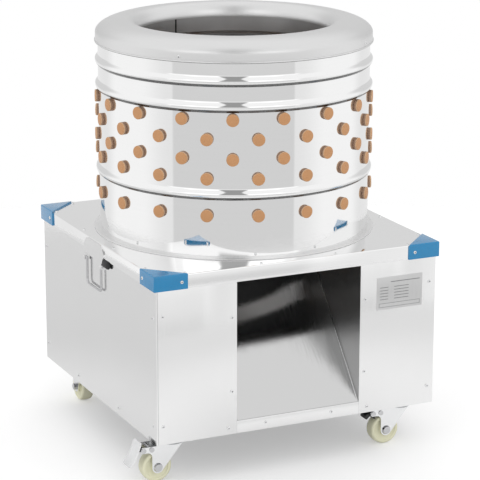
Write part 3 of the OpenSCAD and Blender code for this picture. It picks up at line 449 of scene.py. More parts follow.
def plated_finish(name, shade, rough):
    """Bright plating with a small crystal spangle and dull spots."""
    material, place = start_finish(name)
    spangle = place.node("ShaderNodeTexVoronoi", {}, {"Vector": place, "Scale": 320.0}, "Color")
    flake = spangle.along((0.4, 0.3, 0.3))
    dull = noise(place, 45.0, 4.0)
    base = toned(flake * 0.3 + dull * 0.7, shade, 0.93, 1.05)
    roughness = rough + (dull - 0.5) * 0.14 + (flake - 0.5) * 0.03
    return surface(material, base, roughness, bumped(dull, 0.03, 0.0002), 1.0)


def cast_finish(name, shade, rough):
    """Painted casting with a coarse skin."""
    material, place = start_finish(name)
    skin = noise(place, 260.0, 5.0)
    patches = noise(place, 22.0, 3.0)
    base = toned(patches, shade, 0.75, 1.25)
    return surface(material, base, rough + (patches - 0.5) * 0.2, bumped(skin, 0.3, 0.0006), 0.3)


def turned_finish(name, shade, rough):
    """Turned bar with fine tool marks along its length."""
    material, place = start_finish(name)
    marks = noise(stretched(place, TURNING_GRAIN), 1.0, 2.0)
    base = toned(marks, shade, 0.9, 1.05)
    return surface(material, base, rough + (marks - 0.5) * 0.15, bumped(marks, 0.06, 0.0002), 1.0)


# The ruled plate's layout, in shares of its width and of its height
PLATE_COLUMNS = ((0.07, 0.25), (0.38, 0.70))
PLATE_ROWS = (0.27, 0.74)
ROW_COUNT = 11.0
ROW_INK = (0.4, 0.62)
HEAD_RULE = ((0.30, 0.94), (0.83, 0.855))
FOOT_OUTER = ((0.05, 0.95), (0.07, 0.20))
FOOT_INNER = ((0.06, 0.94), (0.085, 0.185))


def ruled_finish(name, shade, rough, corner, size):
    """Etched plate metal with a head rule, two columns of blank rows and a ruled foot."""
    material, place = start_finish(name)
    local = place.vector("SUBTRACT", tuple(corner)).vector("DIVIDE", tuple(size))
    parts = local.node("ShaderNodeSeparateXYZ", {}, {0: local})
    across = Wire(parts.tree, parts.socket.node.outputs["X"])
    up = Wire(parts.tree, parts.socket.node.outputs["Z"])
    rising = up * ROW_COUNT
    rows = between(rising.math("FRACT", rising), ROW_INK) * between(up, PLATE_ROWS)
    rows = rows * (between(across, PLATE_COLUMNS[0]) + between(across, PLATE_COLUMNS[1]))
    head, foot, blank = (
        between(across, width) * between(up, rise) for width, rise in (HEAD_RULE, FOOT_OUTER, FOOT_INNER)
    )
    ink = rows * 0.7 + (foot - blank) * 0.6 + head * 0.7
    clouds = noise(stretched(place, PLATE_GRAIN), 1.0)
    base = mix(ink, toned(clouds, shade, 0.92, 1.04), INK_SHADE)
    roughness = rough + (clouds - 0.5) * 0.1 + ink * 0.2
    return surface(material, base, roughness, bumped(ink, 0.2, 0.0001), 1.0 - ink * 0.8)


def make_finishes(paints):
    """Every finish by the name of its material slot."""
    plate = low("name_plate")
    plate_size = high("name_plate") - plate
    plate_face = high("feather_plate").z - PLATE_SKIN
    # The chute walls take a darker copy of the chute's steel as painted shade
    chute_wall_painted_shade = scaled(paints.chute, 0.75)
    # The bead and hem undersides take a dark copy of the dull steel as painted shade
    bead_shade = scaled(paints.dull, 0.3)
    return {
        "stainless": brushed_finish("brushed_stainless", paints.stainless, VERTICAL_GRAIN, 0.15),
        "deck": brushed_finish("brushed_deck", paints.deck, DECK_GRAIN, 0.08),
        # A near-black finish on the deck's underside as painted shade
        "underseal": moulded_finish("deck_underside_painted_shade", paints.black, 0.8, 0.3, 300.0),
        "plate": brushed_finish("brushed_plate_shaded_below", paints.deck, DECK_GRAIN, 0.2, plate_face),
        "chute": mirror_finish("polished_chute", paints.chute, 0.06, CHUTE_GRAIN, 1e-4),
        "chute_wall": mirror_finish("satin_chute_wall_painted_shade", chute_wall_painted_shade, 0.3, CHUTE_GRAIN, 3e-6),
        "polished": mirror_finish("polished_drum", paints.polished, 0.04, DRUM_GRAIN, 1e-6),
        "bead_shade": mirror_finish("bead_underside_painted_shade", bead_shade, 0.1, DRUM_GRAIN, 1e-6),
        "satin": spun_finish("satin_foot", paints.satin, 0.4),
        "spun": spun_finish("spun_rim", paints.spun, 0.36),
        "dull": collar_finish("dull_collar_painted_shade", paints.dull, 0.4, COLLAR_SEAM),
        "blue_paint": paint_finish("blue_guard_paint", paints.blue_paint, 0.22),
        "finger": finger_finish("wall_finger_painted_light", paints, 0.52),
        "tan_rubber": moulded_finish("tan_finger_rubber", paints.tan_rubber, 0.52, 0.12, 700.0),
        "cream_wheel": moulded_finish("cream_wheel_nylon", paints.cream_wheel, 0.42, 0.07, 500.0),
        "zinc": plated_finish("zinc_plate", paints.zinc, 0.22),
        "chrome": plated_finish("chrome_bar", paints.chrome, 0.13),
        "black_rubber": moulded_finish("black_stop_rubber", paints.black, 0.6, 0.3, 600.0),
        "black_plastic": moulded_finish("black_moulding", paints.black, 0.42, 0.25, 900.0),
        "iron": cast_finish("cast_iron_paint", paints.iron, 0.5),
        "frame_steel": plated_finish("frame_tube_steel", paints.frame_steel, 0.45),
        "shaft_steel": turned_finish("turned_shaft_steel", paints.zinc, 0.24),
        "motor_paint": cast_finish("motor_paint", paints.motor_paint, 0.4),
        "grey_box": moulded_finish("grey_switch_moulding", paints.grey_box, 0.42, 0.05, 800.0),
        "green_cap": moulded_finish("green_button_cap", paints.green_cap, 0.3, 0.08, 900.0),
        "red_cap": moulded_finish("red_button_cap", paints.red_cap, 0.3, 0.08, 900.0),
        "plate_metal": ruled_finish("ruled_plate", paints.plate_metal, 0.32, plate, plate_size),
    }


FINISHES = {}


def finish(name):
    """A finish of this object, with all of them made on the first call."""
    if not FINISHES:
        FINISHES.update(make_finishes(bpy.context.scene.plucker_finishes))
    return FINISHES[name]


def add_piece(name, bm, looks, body, nodes, crease=35.0):
    """Turns a bmesh into a piece that rides on a body and stands for CAD nodes."""
    bmesh.ops.remove_doubles(bm, verts=bm.verts, dist=MERGE_LIMIT)
    bmesh.ops.recalc_face_normals(bm, faces=bm.faces)
    mesh = bpy.data.meshes.new(name)
    bm.to_mesh(mesh)
    bm.free()
    for look in looks.split():
        mesh.materials.append(finish(look))
    mesh.shade_smooth()
    mesh.set_sharp_from_angle(angle=math.radians(crease))
    piece = bpy.data.objects.new(name, mesh)
    bpy.context.scene.collection.objects.link(piece)
    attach(piece, body)
    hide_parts(*nodes)


def dress_nodes(look, *nodes):
    """Gives CAD nodes that stay a finish."""
    for node in nodes:
        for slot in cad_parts[node].material_slots:
            slot.material = finish(look)


def soften(bm, geom, offset, segments, affect="EDGES"):
    """Rounds edges, or the corners of a sheet."""
    bmesh.ops.bevel(
        bm,
        geom=geom,
        offset=offset,
        offset_type="OFFSET",
        affect=affect,
        segments=segments,
        profile=0.5,
        material=-1,
        clamp_overlap=True,
    )


def outwardness(face):
    """How far a face looks away from the Z axis, from -1 to 1."""
    middle = face.calc_center_median()
    return face.normal.dot(Vector((middle.x, middle.y, 0)).normalized())


def mark_faces(bm, index, test):
    """Gives the faces that pass a test another of their piece's finishes."""
    bmesh.ops.recalc_face_normals(bm, faces=bm.faces)
    for face in bm.faces:
        if test(face):
            face.material_index = index


def thicken(bm, thickness, facing):
    """Gives an open sheet its thickness, away from the side that faces by a measure."""
    bmesh.ops.recalc_face_normals(bm, faces=bm.faces)
    bm.normal_update()
    if sum(facing(face) * face.calc_area() for face in bm.faces) < 0:
        bmesh.ops.reverse_faces(bm, faces=bm.faces)
    bmesh.ops.solidify(bm, geom=bm.faces, thickness=thickness)


def pull(bm, edges, along):
    """Draws edges out into faces along a line."""
    made = bmesh.ops.extrude_edge_only(bm, edges=edges)["geom"]
    far = [item for item in made if isinstance(item, bmesh.types.BMVert)]
    bmesh.ops.translate(bm, vec=along, verts=far)


def swept(bm, points, along):
    """A sheet from a run of points swept along a line, and its bend lines."""
    verts = [bm.verts.new(point) for point in points]
    pull(bm, [bm.edges.new(pair) for pair in zip(verts, verts[1:])], along)
    return [edge for edge in bm.edges if edge.is_manifold]


def closed_loop(bm, points):
    """New points joined in a ring, and the ring's edges."""
    verts = [bm.verts.new(point) for point in points]
    return verts, [bm.edges.new((verts[i - 1], verts[i])) for i in range(len(verts))]


def block(bm, lowest, highest):
    """A plain block between two corners, and its points."""
    corners = bmesh.ops.create_cube(bm, size=1)["verts"]
    bmesh.ops.scale(bm, vec=highest - lowest, verts=corners)
    bmesh.ops.translate(bm, vec=(lowest + highest) / 2, verts=corners)
    return corners


def slab(bm, lowest, highest, rounding, segments=2):
    """A block with rounded edges."""
    corners = block(bm, lowest, highest)
    soften(bm, [edge for edge in bm.edges if edge.verts[0] in corners], rounding, segments)


def add_slab(name, look, node, rounding, segments=2):
    """Adds a rounded block to the cabinet in the place of a CAD node."""
    bm = bmesh.new()
    slab(bm, *corners_of(node), rounding, segments)
    add_piece(name, bm, look, "cabinet", [node])


def arc(centre, radii, start, end, steps):
    """Outline points along part of an ellipse, with angles in degrees."""
    turns = [math.radians(start + (end - start) * i / steps) for i in range(steps + 1)]
    return [(centre[0] + radii[0] * math.cos(t), centre[1] + radii[1] * math.sin(t)) for t in turns]


def lathe(bm, outline, steps, closed):
    """Spins an outline of radius and height once round the Z axis."""
    points = [bm.verts.new((radius, 0, height)) for radius, height in outline]
    pairs = list(zip(points, points[1:]))
    if closed:
        pairs.append((points[-1], points[0]))
    edges = [bm.edges.new(pair) for pair in pairs]
    bmesh.ops.spin(
        bm,
        geom=points + edges,
        cent=(0, 0, 0),
        axis=(0, 0, 1),
        angle=math.tau,
        steps=steps,
        use_merge=True,
    )
    bmesh.ops.remove_doubles(bm, verts=bm.verts, dist=MERGE_LIMIT)


def shape_mesh(build, *values):
    """A shape built once, to be stamped in many places."""
    bm = bmesh.new()
    build(bm, *values)
    bmesh.ops.recalc_face_normals(bm, faces=bm.faces)
    mesh = bpy.data.meshes.new("stamp")
    bm.to_mesh(mesh)
    bm.free()
    return mesh


def stamped(mesh, places):
    """A bmesh with a copy of a shape at each place."""
    bm = bmesh.new()
    for place in places:
        first = len(bm.verts)
        bm.from_mesh(mesh)
        bm.verts.ensure_lookup_table()
        bmesh.ops.transform(bm, matrix=place, verts=bm.verts[first:])
    bpy.data.meshes.remove(mesh)
    return bm


def solids_of(node):
    """The points of each separate solid of a CAD node."""
    bm = bmesh.new()
    bm.from_mesh(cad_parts[node].data)
    bmesh.ops.remove_doubles(bm, verts=bm.verts, dist=MERGE_LIMIT)
    left = set(bm.verts)
    solids = []
    while left:
        found = {left.pop()}
        edge_front = list(found)
        while edge_front:
            vert = edge_front.pop()
            near = {edge.other_vert(vert) for edge in vert.link_edges} - found
            found |= near
            edge_front.extend(near)
        left -= found
        solids.append([vert.co.copy() for vert in found])
    bm.free()
    return solids


def box_of(points):
    """The lowest and the highest corner of a solid's points."""
    return [Vector([pick(point[i] for point in points) for i in range(3)]) for pick in (min, max)]


def centre_of(points):
    """The middle of a solid's box."""
    lowest, highest = box_of(points)
    return (lowest + highest) / 2


def turned_to(direction, place):
    """A matrix that takes +Z to a direction and the origin to a place."""
    return Matrix.Translation(place) @ Z_AXIS.rotation_difference(direction).to_matrix().to_4x4()


# Cabinet

# Steps of a folded edge and of the outlet's round front edge
BEND_STEPS = 4
OUTLET_STEPS = 20


class PLUCKER_OT_deck(bpy.types.Operator):
    """Makes the deck plate with its turned-down lips and its outlet"""

    bl_idname = "plucker.deck"
    bl_label = "Deck plate"

    def execute(self, context):
        sizes = context.scene.plucker_sizes
        lowest, highest = corners_of("deck_plate")
        bm = bmesh.new()
        block(bm, lowest, highest)
        floor_face = min(bm.faces, key=lambda face: face.calc_center_median().z)
        bmesh.ops.delete(bm, geom=[floor_face], context="FACES_ONLY")
        below_top = DECK_TOP - MERGE_LIMIT
        bends = [edge for edge in bm.edges if max(vert.co.z for vert in edge.verts) > below_top]
        soften(bm, bends, sizes.sheet_bend, BEND_STEPS)
        top = max(bm.faces, key=lambda face: face.calc_area() * face.calc_center_median().z)
        rim = list(top.edges)
        bmesh.ops.delete(bm, geom=[top], context="FACES_ONLY")
        loop = closed_loop(bm, [(x, y, DECK_TOP) for x, y in self.outlet(sizes)])[1]
        bmesh.ops.triangle_fill(bm, edges=rim + loop, use_beauty=True)
        thicken(bm, sizes.deck_sheet, lambda face: face.normal.z)
        sheet_foot = lowest.z + sizes.deck_sheet
        # Downward faces under the deck's top take the near-black finish as painted shade
        mark_faces(bm, 1, lambda face: face.normal.z < -0.5 and face.calc_center_median().z > sheet_foot)
        mark_faces(bm, 2, lambda face: outwardness(face) < -0.5)
        add_piece("deck", bm, "deck underseal satin", "cabinet", ["deck_plate"])
        return {"FINISHED"}

    def outlet(self, sizes):
        """The corners of the outlet over the chute, with its round front edge."""
        spread = math.degrees(math.asin(sizes.outlet_half / sizes.outlet_reach))
        back = [(-sizes.outlet_half, -sizes.outlet_back), (sizes.outlet_half, -sizes.outlet_back)]
        return back + arc((0, 0), (sizes.outlet_reach,) * 2, spread - 90, -spread - 90, OUTLET_STEPS)


class PLUCKER_OT_guards(bpy.types.Operator):
    """Makes the four folded corner guards"""

    bl_idname = "plucker.guards"
    bl_label = "Corner guards"

    def execute(self, context):
        sizes = context.scene.plucker_sizes
        bm = bmesh.new()
        lowest, highest = corners_of("corner_guards")
        for points in solids_of("corner_guards"):
            middle = centre_of(points)
            side = Vector((math.copysign(1, middle.x), math.copysign(1, middle.y), 0))
            reach = max(abs(point.x) for point in points)
            leg = reach - min(abs(point.x) for point in points)
            top = max(point.z for point in points)
            corner = bm.verts.new((side.x * reach, side.y * reach, top))
            across = bm.verts.new((side.x * (reach - leg), side.y * reach, top))
            along = bm.verts.new((side.x * reach, side.y * (reach - leg), top))
            bm.faces.new((corner, across, along))
            rims = [bm.edges.get((corner, across)), bm.edges.get((corner, along))]
            pull(bm, rims, (0, 0, lowest.z - highest.z))
            upright = [edge for edge in corner.link_edges if edge not in rims]
            folds = rims + [edge for edge in upright if edge.is_manifold]
            soften(bm, folds, sizes.sheet_bend, BEND_STEPS)
        bmesh.ops.recalc_face_normals(bm, faces=bm.faces)
        bmesh.ops.solidify(bm, geom=bm.faces, thickness=sizes.guard_sheet)
        add_piece("guards", bm, "blue_paint", "cabinet", ["corner_guards"])
        return {"FINISHED"}


class PLUCKER_OT_panels(bpy.types.Operator):
    """Makes the cabinet's panels, the sill and the chute's floor"""

    bl_idname = "plucker.panels"
    bl_label = "Panels and chute"
    nodes = ("front_right_panel", "sill_strip", "right_panel")

    def execute(self, context):
        sizes = context.scene.plucker_sizes
        for node in self.nodes:
            add_slab(node + "_sheet", "stainless", node, sizes.panel_edge)
        self.make_corner(sizes)
        self.make_chute(sizes)
        dress_nodes("chute_wall", "chute_walls")
        dress_nodes("stainless", "rear_panel")
        return {"FINISHED"}

    def make_corner(self, sizes):
        """The left panel, folded round the front corner, and the front panel beside its fold."""
        lowest, highest = corners_of("left_panel")
        front = low("front_left_panel")
        fold = lowest.x + sizes.panel_return
        path = [(lowest.x, highest.y), (lowest.x, front.y), (fold, front.y)]
        bm = bmesh.new()
        bends = swept(bm, [(x, y, lowest.z) for x, y in path], (0, 0, highest.z - lowest.z))
        soften(bm, bends, sizes.sheet_bend, BEND_STEPS)
        thicken(bm, highest.x - lowest.x, outwardness)
        add_piece("left_panel_sheet", bm, "stainless", "cabinet", ["left_panel"])
        bm = bmesh.new()
        start = Vector((fold + sizes.panel_gap, front.y, front.z))
        slab(bm, start, high("front_left_panel"), sizes.panel_edge)
        add_piece("front_left_panel_sheet", bm, "stainless", "cabinet", ["front_left_panel"])

    def make_chute(self, sizes):
        """The sloping chute floor, turned up in a small fillet along its sides."""
        lowest, highest = corners_of("chute_floor")
        sill = max(point.z for point in points_of("chute_floor") if point.y < lowest.y + LEVEL_LIMIT)
        back = min(point.y for point in points_of("chute_floor") if point.z > highest.z - LEVEL_LIMIT)
        foot = Vector((0, lowest.y, sill))
        slope = Vector((0, back, highest.z)) - foot
        length_used = 1 - 2 * sizes.chute_fillet / slope.length
        rise = X_AXIS.cross(slope).normalized()
        half = highest.x - sizes.chute_sheet - sizes.chute_fillet
        radii = (sizes.chute_fillet,) * 2
        outline = arc((-half, sizes.chute_fillet), radii, 180, 270, 5)
        outline += arc((half, sizes.chute_fillet), radii, 270, 360, 5)
        bm = bmesh.new()
        swept(bm, [foot + X_AXIS * across + rise * up for across, up in outline], slope * length_used)
        thicken(bm, sizes.chute_sheet, lambda face: face.normal.z)
        add_piece("chute_sheet", bm, "chute", "cabinet", ["chute_floor"])


class PLUCKER_OT_name_plate(bpy.types.Operator):
    """Makes the blank ruled plate"""

    bl_idname = "plucker.name_plate"
    bl_label = "Ruled plate"

    def execute(self, context):
        sizes = context.scene.plucker_sizes
        add_slab("ruled_plate", "plate_metal", "name_plate", sizes.panel_edge / 2)
        return {"FINISHED"}


# A screw head's flat top and its cross recess, in shares of the head's radius and height
HEAD_FLAT = 0.72
CROSS_ARM = 0.5
CROSS_HALF = 0.11
CROSS_DEPTH = 0.6

# A deck screw's middle lies no further than this under the deck's top
DECK_SCREW_DROP = 0.004


def screw_head(bm, radius, height):
    """A pan head with a cross recess, standing on the XY plane."""
    flat = HEAD_FLAT * radius
    profile = [(radius, -height)] + arc((flat, 0), (radius - flat, height), 0, 90, 3)
    lathe(bm, profile, steps=20, closed=False)
    rim = [edge for edge in bm.edges if edge.is_boundary and edge.verts[0].co.z > height / 2]
    arm = CROSS_ARM * radius
    half = CROSS_HALF * radius
    outline = []
    for quarter in range(4):
        turn = Matrix.Rotation(quarter * math.pi / 2, 4, "Z")
        outline += [turn @ Vector((arm, -half, height)), turn @ Vector((arm, half, height))]
        outline.append(turn @ Vector((half, half, height)))
    cross, loop = closed_loop(bm, outline)
    bmesh.ops.triangle_fill(bm, edges=rim + loop, use_beauty=True)
    recess = bm.faces.new(cross)
    made = bmesh.ops.extrude_discrete_faces(bm, faces=[recess])["faces"]
    bmesh.ops.translate(bm, vec=(0, 0, -CROSS_DEPTH * height), verts=made[0].verts)
    # The cross recess takes the black finish as painted shade
    for face in [made[0], *(side for edge in made[0].edges for side in edge.link_faces)]:
        face.material_index = 1


def screw_place(points):
    """Where a screw's head sits on its sheet, and which way it faces."""
    middle = centre_of(points)
    if middle.z > low("rim_ring").z:
        facing = Vector((middle.x, middle.y, 0)).normalized()
    elif middle.z > DECK_TOP - DECK_SCREW_DROP:
        facing = Z_AXIS.copy()
    elif abs(middle.x) > abs(middle.y):
        facing = Vector((math.copysign(1, middle.x), 0, 0))
    else:
        facing = Vector((0, math.copysign(1, middle.y), 0))
    reach = max(point.dot(facing) for point in points)
    return facing, middle + facing * (reach - middle.dot(facing))


class PLUCKER_OT_screws(bpy.types.Operator):
    """Makes the cross-head sheet screws where the CAD has them"""

    bl_idname = "plucker.screws"
    bl_label = "Sheet screws"

    def execute(self, context):
        sizes = context.scene.plucker_sizes
        places = []
        for points in solids_of("sheet_screws"):
            facing, outer = screw_place(points)
            places.append(turned_to(facing, outer - facing * sizes.screw_height))
        head = shape_mesh(screw_head, sizes.screw_head, sizes.screw_height)
        bm = stamped(head, places)
        # The screws' recesses are painted black as painted shade
        looks = "zinc black_plastic"
        add_piece("cross_head_screws", bm, looks, "cabinet", ["sheet_screws"], crease=30.0)
        return {"FINISHED"}


# Drum

# Sides of the drum's round pieces, and steps of a bead's underside, of its eased upper side, and of the
# rim's hem, its outer curve and its inner curve
DRUM_STEPS = 256
FOOT_STEPS = 8
EASE_STEPS = 10
HEM_STEPS = 8
CROWN_STEPS = 24
ROLL_STEPS = 20

# Flat strip above a bead that keeps the wall's shading even
BEAD_STRIP = 0.0005

# Faces that look down further than this are the undersides of the beads and the hem, darkened there as
# painted shade
UNDERSIDE = -0.36


class PLUCKER_OT_drum(bpy.types.Operator):
    """Makes the drum with its rolled beads, its foot ring and the domed rim"""

    bl_idname = "plucker.drum"
    bl_label = "Drum and rim"

    def execute(self, context):
        sizes = context.scene.plucker_sizes
        self.make_shell(sizes)
        self.make_foot(sizes)
        self.make_rim(sizes)
        return {"FINISHED"}

    def make_shell(self, sizes):
        """The rolled drum wall."""
        radius = DRUM_RADIUS
        half = sizes.bead_height / 2
        bead = (half * half + sizes.bead_rise**2) / (2 * sizes.bead_rise)
        spread = math.degrees(math.asin(half / bead))
        outline = [(radius, low("drum_shell").z)]
        for foot in (sizes.bead_low, sizes.bead_middle, sizes.bead_high):
            crest = DECK_TOP + foot + half
            centre = (radius + sizes.bead_rise - bead, crest)
            outline += arc(centre, (bead, bead), -spread, 0, FOOT_STEPS)
            for i in range(1, EASE_STEPS + 1):
                swell = (1 + math.cos(math.pi * i / EASE_STEPS)) / 2
                outline.append((radius + sizes.bead_rise * swell, crest + half * i / EASE_STEPS))
            outline.append((radius, crest + half + BEAD_STRIP))
        outline.append((radius, lowest_between("rim_ring", radius, high("rim_ring").x) + sizes.rim_lap))
        inner = [(across - sizes.drum_wall, height) for across, height in reversed(outline)]
        bm = bmesh.new()
        lathe(bm, outline + inner, DRUM_STEPS, closed=True)
        # Bead undersides take the dark finish as painted shade
        mark_faces(bm, 1, lambda face: face.normal.z < UNDERSIDE)
        # The inner wall takes the darker dull steel as painted shade
        mark_faces(bm, 2, lambda face: outwardness(face) < -0.2)
        add_piece("drum_wall", bm, "polished bead_shade dull", "cabinet", ["drum_shell"])

    def make_foot(self, sizes):
        """The flat ring that holds the drum to the deck."""
        outer = high("drum_foot_ring").x
        inner = DRUM_RADIUS
        top = high("drum_foot_ring").z
        edge = (top - DECK_TOP) / 2
        outline = arc((outer - edge, DECK_TOP + edge), (edge, edge), -90, 90, 6)
        outline += [(inner, top), (inner, DECK_TOP)]
        bm = bmesh.new()
        lathe(bm, outline, DRUM_STEPS, closed=True)
        add_piece("drum_foot", bm, "satin", "cabinet", ["drum_foot_ring"])

    def make_rim(self, sizes):
        """The domed ring with a rolled hem and a turned-down collar."""
        wall = sizes.drum_wall
        crown = sizes.crown_radius
        top = high("rim_ring").z
        skirt = high("rim_ring").x - sizes.hem_radius
        foot = lowest_between("rim_ring", skirt - 2 * wall, high("rim_ring").x)
        skirt_top = top - sizes.crown_rise
        throat_top = top - sizes.roll_height
        outer = (skirt - crown, sizes.crown_rise)
        inner = (crown - sizes.throat_radius, sizes.roll_height)
        collar = lowest_between("rim_ring", 0, sizes.throat_radius + wall)
        outline = arc((skirt, foot + sizes.hem_radius), (sizes.hem_radius,) * 2, -90, 90, HEM_STEPS)
        outline += arc((crown, skirt_top), outer, 0, 90, CROWN_STEPS)
        outline += arc((crown, throat_top), inner, 90, 180, ROLL_STEPS)[1:]
        outline += [(sizes.throat_radius, collar), (sizes.throat_radius + wall, collar)]
        inner = [radius - wall for radius in inner]
        outer = [radius - wall for radius in outer]
        outline += arc((crown, throat_top), inner, 180, 90, ROLL_STEPS)
        outline += arc((crown, skirt_top), outer, 90, 0, CROWN_STEPS)[1:]
        outline.append((skirt - wall, foot))
        bm = bmesh.new()
        lathe(bm, outline, DRUM_STEPS, closed=True)

        def in_throat(face):
            """Whether a face is on the inside of the collar."""
            return outwardness(face) < -0.5 and face.calc_center_median().z < throat_top

        # The collar's inside and the rim's underside take the darker dull steel as painted shade
        mark_faces(bm, 1, in_throat)
        mark_faces(bm, 1, lambda face: face.normal.z < -0.2 and outwardness(face) < 0.1)
        # The hem's underside takes the dark finish as painted shade
        mark_faces(bm, 2, lambda face: face.normal.z < UNDERSIDE and outwardness(face) > 0.1)
        add_piece("rim_dome", bm, "spun dull bead_shade", "cabinet", ["rim_ring"])


# A finger's ribs, each rib's step and share of the pitch, the rounded edges and the play in the wall
FINGER_RIBS = 4
RIB_STEP = 0.0012
RIB_SHARE = 0.85
FINGER_EDGE = 0.0016
FINGER_PLAY = 0.0001


def finger_shape(bm, sizes, wall):
    """A plucking finger along +Z, its head below the wall and its ribbed body above."""
    edge = FINGER_EDGE
    head = sizes.finger_head
    drop = -sizes.finger_head_height
    root = wall + sizes.finger_collar
    end = wall + sizes.finger_length - sizes.finger_tip
    pitch = (end - root) / FINGER_RIBS
    outline = [(0, drop)]
    outline += arc((head - edge, drop + edge), (edge, edge), -90, 0, 4)
    outline += arc((head - edge / 2, -edge / 2), (edge / 2, edge / 2), 0, 90, 2)
    outline += [(sizes.finger_root, 0), (sizes.finger_root, wall), (head - edge / 2, wall)]
    outline += arc((head - edge, root - edge), (edge / 2, edge), 0, 90, 2)
    for rib in range(FINGER_RIBS):
        radius = sizes.finger_root + (sizes.finger_tip - sizes.finger_root) * rib / FINGER_RIBS
        outline += [(radius, root + rib * pitch), (radius - RIB_STEP, root + (rib + RIB_SHARE) * pitch)]
    outline += arc((0, end), (sizes.finger_tip, sizes.finger_tip), 0, 90, 4)
    lathe(bm, outline, steps=20, closed=False)


class PLUCKER_OT_fingers(bpy.types.Operator):
    """Makes the rubber fingers of the drum wall and of the turning plate"""

    bl_idname = "plucker.fingers"
    bl_label = "Plucking fingers"

    def execute(self, context):
        sizes = context.scene.plucker_sizes
        inward = Matrix.Translation((0, -DRUM_RADIUS, 0)) @ Matrix.Rotation(-math.pi / 2, 4, "X")
        places = []
        for points in solids_of("drum_fingers"):
            middle = sum(points, Vector()) / len(points)
            turn = Matrix.Rotation(math.atan2(middle.x, -middle.y), 4, "Z")
            places.append(turn @ Matrix.Translation((0, 0, middle.z)) @ inward)
        bm = stamped(shape_mesh(finger_shape, sizes, sizes.drum_wall + FINGER_PLAY), places)
        add_piece("wall_fingers", bm, "finger", "cabinet", ["drum_fingers"], crease=50.0)
        plate = low("plate_fingers").z + sizes.finger_head_height
        uprights = []
        for points in solids_of("plate_fingers"):
            middle = centre_of(points)
            uprights.append(Matrix.Translation((middle.x, middle.y, plate)))
        bm = stamped(shape_mesh(finger_shape, sizes, sizes.plate_sheet), uprights)
        add_piece("floor_fingers", bm, "tan_rubber", "rotor", ["plate_fingers"], crease=50.0)
        return {"FINISHED"}


# The cone's rounded tip as a share of its foot, its upright edge, its hollow and its wall at the foot
CONE_TIP = 0.18
CONE_EDGE = 0.001
CONE_HOLLOW = 0.02
CONE_WALL = 0.004


class PLUCKER_OT_rotor(bpy.types.Operator):
    """Makes the centre cone and finishes the turning plate, its shaft and the drive"""

    bl_idname = "plucker.rotor"
    bl_label = "Turning plate and drive"

    def execute(self, context):
        lowest, highest = corners_of("centre_cone")
        wide = highest.x
        tip = CONE_TIP * wide
        outline = [(wide, lowest.z), (wide, lowest.z + CONE_EDGE), (tip, highest.z - 0.5 * tip)]
        outline += arc((0, highest.z - 0.6 * tip), (0.9 * tip, 0.6 * tip), 10, 90, 6)
        outline += [(0, lowest.z + CONE_HOLLOW), (wide - CONE_WALL, lowest.z)]
        bm = bmesh.new()
        lathe(bm, outline, steps=64, closed=False)
        add_piece("cone_cap", bm, "spun", "rotor", ["centre_cone"])
        # The turning plate's underside is painted near-black as painted shade
        dress_nodes("plate", "feather_plate")
        dress_nodes("black_rubber", "sweeper_blades", "shaft_seal", "drive_belts")
        dress_nodes("shaft_steel", "main_shaft", "motor_shaft", "bearing_inserts")
        dress_nodes("zinc", "hub_nut", "hex_bolts")
        dress_nodes("iron", "bearing_housings", "driven_pulley", "motor_pulley")
        dress_nodes("motor_paint", "motor_body", "fan_cover", "terminal_box")
        dress_nodes("black_plastic", "motor_fan")
        dress_nodes("frame_steel", "frame_posts", "frame_rails", "cross_beams", "motor_plate")
        return {"FINISHED"}


# Switch, handles and castors

# A button's cap height, the radius of its edge and the depth of its dished face
CAP_HEIGHT = 0.012
CAP_EDGE = 0.003
CAP_DISH = 0.0012

# Rounding of the switch box, its cover and the bails' rubber stops
CASE_EDGE = 0.004
LID_EDGE = 0.001
STOP_EDGE = 0.0045


def round_button(bm, points, facing):
    """A button with a rolled edge and a dished face, over a CAD button's points."""
    middle = centre_of(points)
    reach = [point.dot(facing) for point in points]
    deep = max(reach) - min(reach)
    radius = max((point - middle).cross(facing).length for point in points)
    stem = 0.5 * radius
    outline = [(0, 0), (stem, 0), (stem, deep - CAP_HEIGHT), (radius, deep - CAP_HEIGHT)]
    outline += arc((radius - CAP_EDGE, deep - CAP_EDGE), (CAP_EDGE, CAP_EDGE), 0, 90, 5)
    outline += [(0.7 * radius, deep - CAP_DISH / 2), (0, deep - CAP_DISH)]
    lathe(bm, outline, steps=48, closed=False)
    base = middle + facing * (min(reach) - middle.dot(facing))
    bmesh.ops.transform(bm, matrix=turned_to(facing, base), verts=bm.verts)


class PLUCKER_OT_switch(bpy.types.Operator):
    """Makes the switch box, its cover and its two buttons"""

    bl_idname = "plucker.switch"
    bl_label = "Switch box"

    def execute(self, context):
        add_slab("switch_case", "grey_box", "switch_box", CASE_EDGE, 3)
        add_slab("switch_lid", "grey_box", "switch_cover", LID_EDGE, 3)
        for node, slot in (("start_button", "green_cap"), ("stop_button", "red_cap")):
            bm = bmesh.new()
            round_button(bm, points_of(node), X_AXIS)
            add_piece(node + "_cap", bm, slot, node, [node])
        dress_nodes("black_plastic", "cable_gland")
        return {"FINISHED"}


class PLUCKER_OT_handles(bpy.types.Operator):
    """Finishes the fold-down bails, their plates and their stops"""

    bl_idname = "plucker.handles"
    bl_label = "Bail handles"

    def execute(self, context):
        bm = bmesh.new()
        for points in solids_of("bail_stops"):
            slab(bm, *box_of(points), STOP_EDGE, 3)
        add_piece("rubber_stops", bm, "black_rubber", "cabinet", ["bail_stops"])
        dress_nodes("stainless", "handle_plates")
        dress_nodes("chrome", "left_bail", "right_bail")
        return {"FINISHED"}


# A wheel's softened edges, the depth of its recessed sides, the height of its rim, and its tread's
# shoulders and crown
WHEEL_EDGE = 0.001
WHEEL_DISH = 0.003
WHEEL_RIM = 0.009
WHEEL_SHOULDER = 0.005
WHEEL_CROWN = 0.0004


